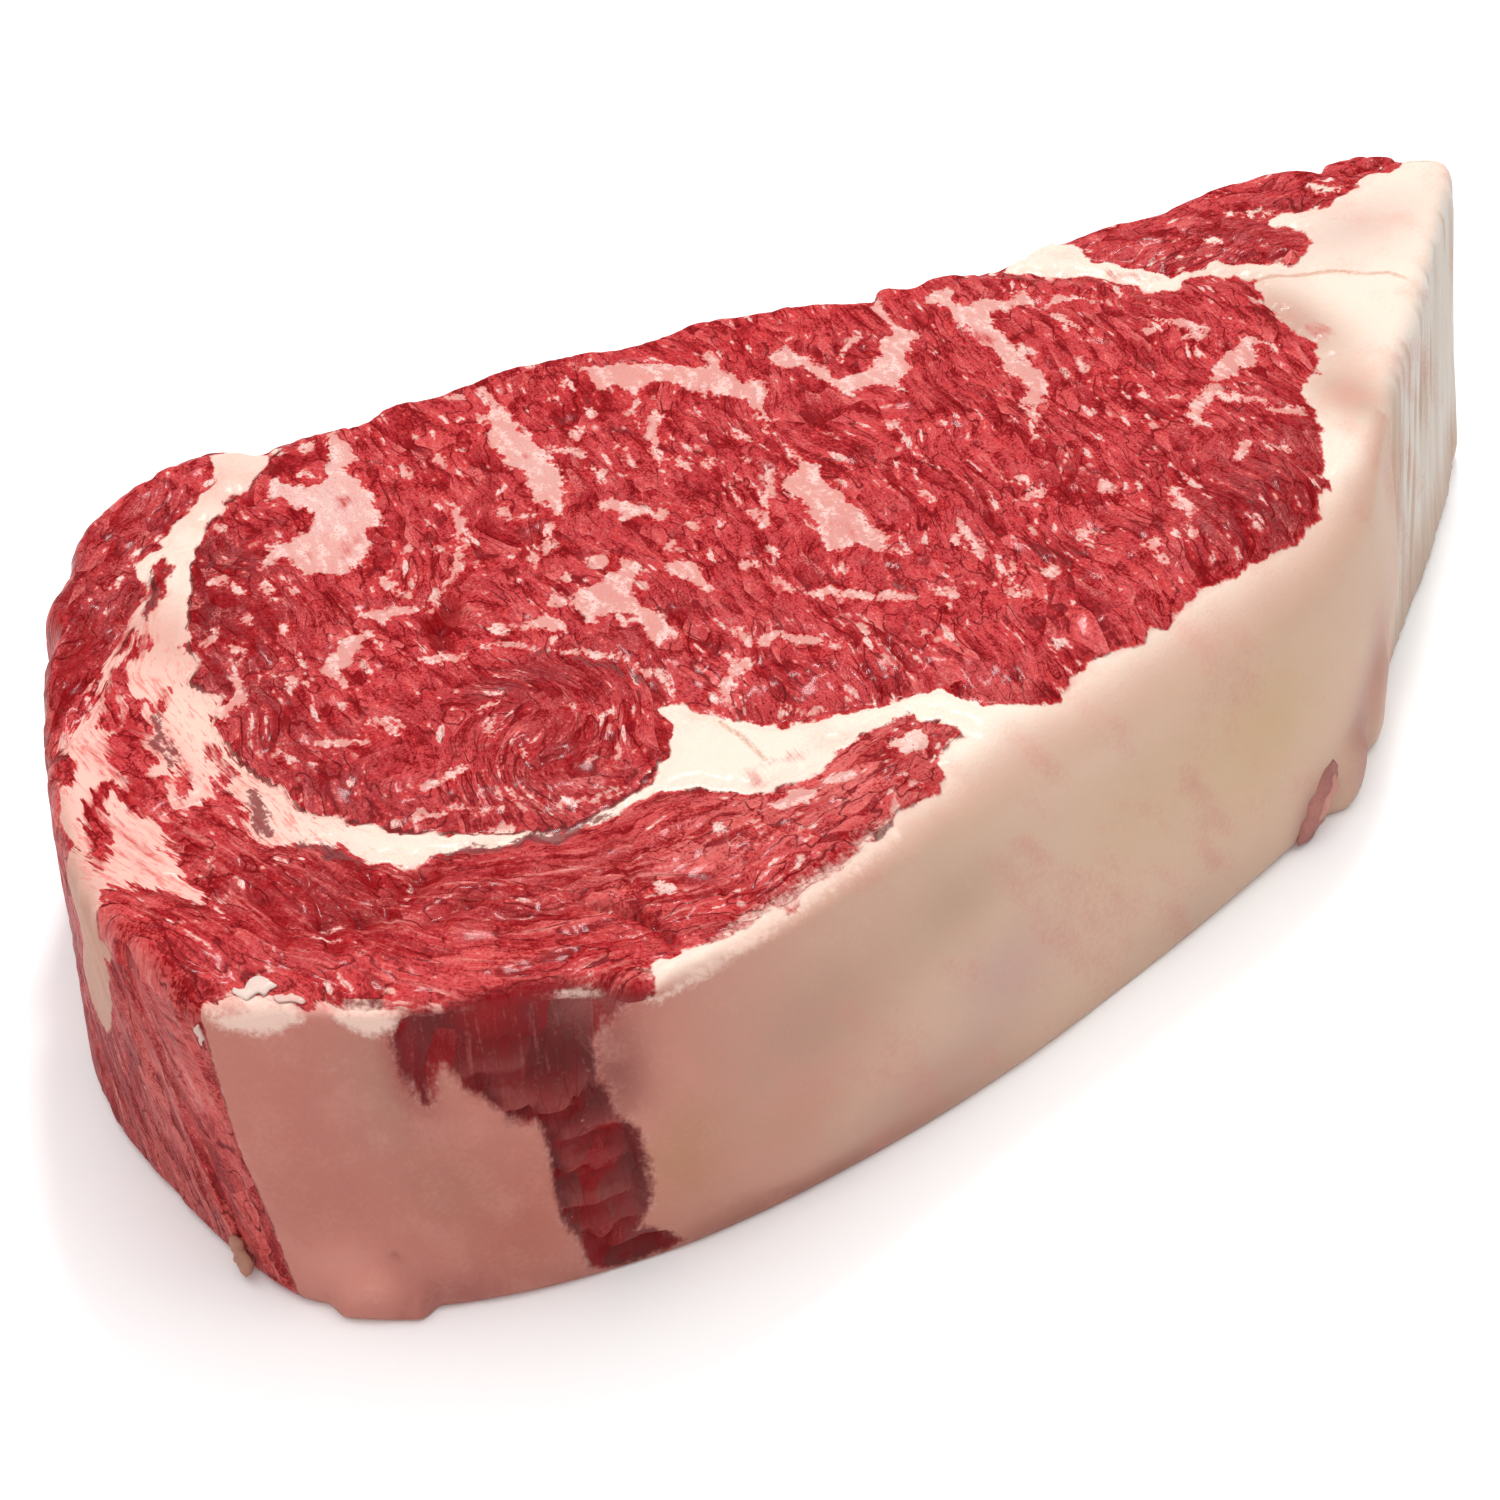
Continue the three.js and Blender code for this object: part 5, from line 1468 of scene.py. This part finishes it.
skin = coated(layer(fat_share, meat, fat), {
    "sinew": (sinew * 0.9, (124, 58, 58)),
    "pale skin": (pale * 0.85, (228, 198, 184)),
})

# Height of what is too fine for the mesh, in millimetres
meat_share = lean.step(-0.3, 0.3) * field("vein").step(0.2, -0.3)
meat_height = facet * 1.2 + fibres * 0.22 + crumb * 0.16 + arcs.size().step(0.0, 0.04) * 0.16
relief = (meat_height * meat_share + crumb * 0.16 * (1 - meat_share)) * torn
bump = {"Height": relief, "Strength": BUMP_STRENGTH, "Distance": MM}

flesh = raw_beef.node_tree.nodes["Principled BSDF"].inputs
for socket, shade in {
    "Base Color": skin,
    "Roughness": ROUGHNESS + fibres * 0.25 + fat_share * 0.08,
    "Coat Weight": JUICE_COAT - fat_share * 0.01,
    "Normal": Shade.node("ShaderNodeBump", {}, bump),
}.items():
    raw_beef.node_tree.links.new(shade.socket, flesh[socket])
flesh["Specular IOR Level"].default_value = SHEEN
flesh["Coat Roughness"].default_value = JUICE_ROUGHNESS
for part, value in FLESH_DEPTH.items():
    flesh["Subsurface " + part].default_value = value
steak_mesh.materials.append(raw_beef)

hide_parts("ribeye_steak")
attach(steak, "root")


# Scraps at the rim and the foot
# Small torn bits of skin and fat still hang on where the knife left them: pale flakes over the
# near corner's rim, a tan tip at its foot, and a fold of skin at the foot of the fat cap, tinted
# darker as painted shade, with a ridge tinted lighter as painted light.
LEAF_STEPS = 14
LEAF_SIDES = 10
LEAF_UNEVEN = 0.5
LEAF_BEND = 0.6
# A scrap is of one tint, with no meat, veins or other tissues drawn on it
NO_TISSUE = {name: -FIELD_REACH for name in ("lean", "vein", "blood", "sinew", "pale", "trace")}
NO_TISSUE |= {"painted_cleft_shade": 0, "marbled": 0, "stringy": 0, "streaky": 0, "torn": 1}

# Both ends of each scrap, half its width and thickness, the way its broad side looks, its tint
SCRAPS = {
    "rim_flake":
        ((-100, -29.2, 40.6), (-95.2, -31, 40.9), 1.2, 0.3, (0.15, -0.1, 1), (214, 188, 178)),
    "rim_flake_small":
        ((-96.9, -32.2, 40.7), (-94.6, -34.8, 40.6), 0.7, 0.25, (0.2, -0.2, 1), (212, 172, 162)),
    "rim_thread":
        ((-103.8, -28.9, 38), (-103.4, -28.6, 33.6), 0.45, 0.3, (-0.8, -0.6, 0), (206, 176, 168)),
    "foot_tip":
        ((-102.6, -28.2, 5), (-102.9, -31, 0.8), 1.1, 0.8, (-0.9, -0.4, 0), (172, 126, 108)),
    # Painted shade and light: the fold is tinted darker and its ridge lighter
    "foot_fold":
        ((33.2, -42.9, 1.1), (40, -40.2, 10), 2.9, 1.2, (0.4, -0.9, 0.1), (160, 106, 99)),
    "foot_fold_ridge":
        ((36, -42.9, 3.6), (39.4, -41.5, 8.6), 0.7, 0.7, (0.4, -0.9, 0.1), (188, 136, 124)),
}


def leaf(start, end, half_width, half_thick, looks):
    """A thin closed leaf from start to end. Its sections are ovals whose size goes with the root
    of 1 - s^2 from -1 to 1 along it, made uneven by noise, and a single point closes each end."""
    start, end, looks = (np.array(v, float) for v in (start, end, looks))
    way = (end - start) / np.linalg.norm(end - start)
    thin = looks - way * (looks @ way)
    thin /= np.linalg.norm(thin)
    wide = np.cross(thin, way)
    s = np.linspace(-1, 1, LEAF_STEPS + 2)[1:-1, None]
    turn = 2 * np.pi * np.arange(LEAF_SIDES)[None, :] / LEAF_SIDES
    uneven = LEAF_UNEVEN * noise(s * 4 + start[0], np.cos(turn) * 1.2 + start[1])
    swell = np.sqrt(1 - s**2) * (1 + uneven)
    bend = LEAF_BEND * half_width * noise(s * 1.7 + start[1], 0 * s + 0.4)
    middle = (start + end) / 2 + s[..., None] * (end - start) / 2 + bend[..., None] * wide
    skin_of = middle + (half_width * swell * np.cos(turn))[..., None] * wide
    skin_of = skin_of + (half_thick * swell * np.sin(turn))[..., None] * thin
    sections = 1 + np.arange(LEAF_STEPS * LEAF_SIDES).reshape(LEAF_STEPS, LEAF_SIDES)
    wrapped = np.column_stack([sections, sections[:, :1]])
    first, last, tip = wrapped[0].tolist(), wrapped[-1].tolist(), LEAF_STEPS * LEAF_SIDES + 1
    faces = quads(wrapped).tolist()
    faces += [(0, b, a) for a, b in zip(first, first[1:])]
    faces += [(tip, a, b) for a, b in zip(last, last[1:])]
    return np.vstack([start, skin_of.reshape(-1, 3), end]), faces


for name, (*shape, tint) in SCRAPS.items():
    points, faces = leaf(*shape)
    scrap = add_tissue(name, points, faces)
    for field_name, value in NO_TISSUE.items():
        keep_field(scrap.data, field_name, np.full(len(points), value))
    keep_field(scrap.data, "mottle", mottled(points[:, 0], points[:, 2]))
    for field_name in ("lean_tint", "fat_tint"):
        keep_field(scrap.data, field_name, np.tile(srgb(*tint), (len(points), 1)), "FLOAT_COLOR")
    keep_field(scrap.data, "grain", points[points_at_corners(scrap.data)], "FLOAT_VECTOR", "CORNER")
    scrap.data.materials.append(raw_beef)
    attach(scrap, "root")


# The scene is brought up to date
bpy.context.view_layer.update()
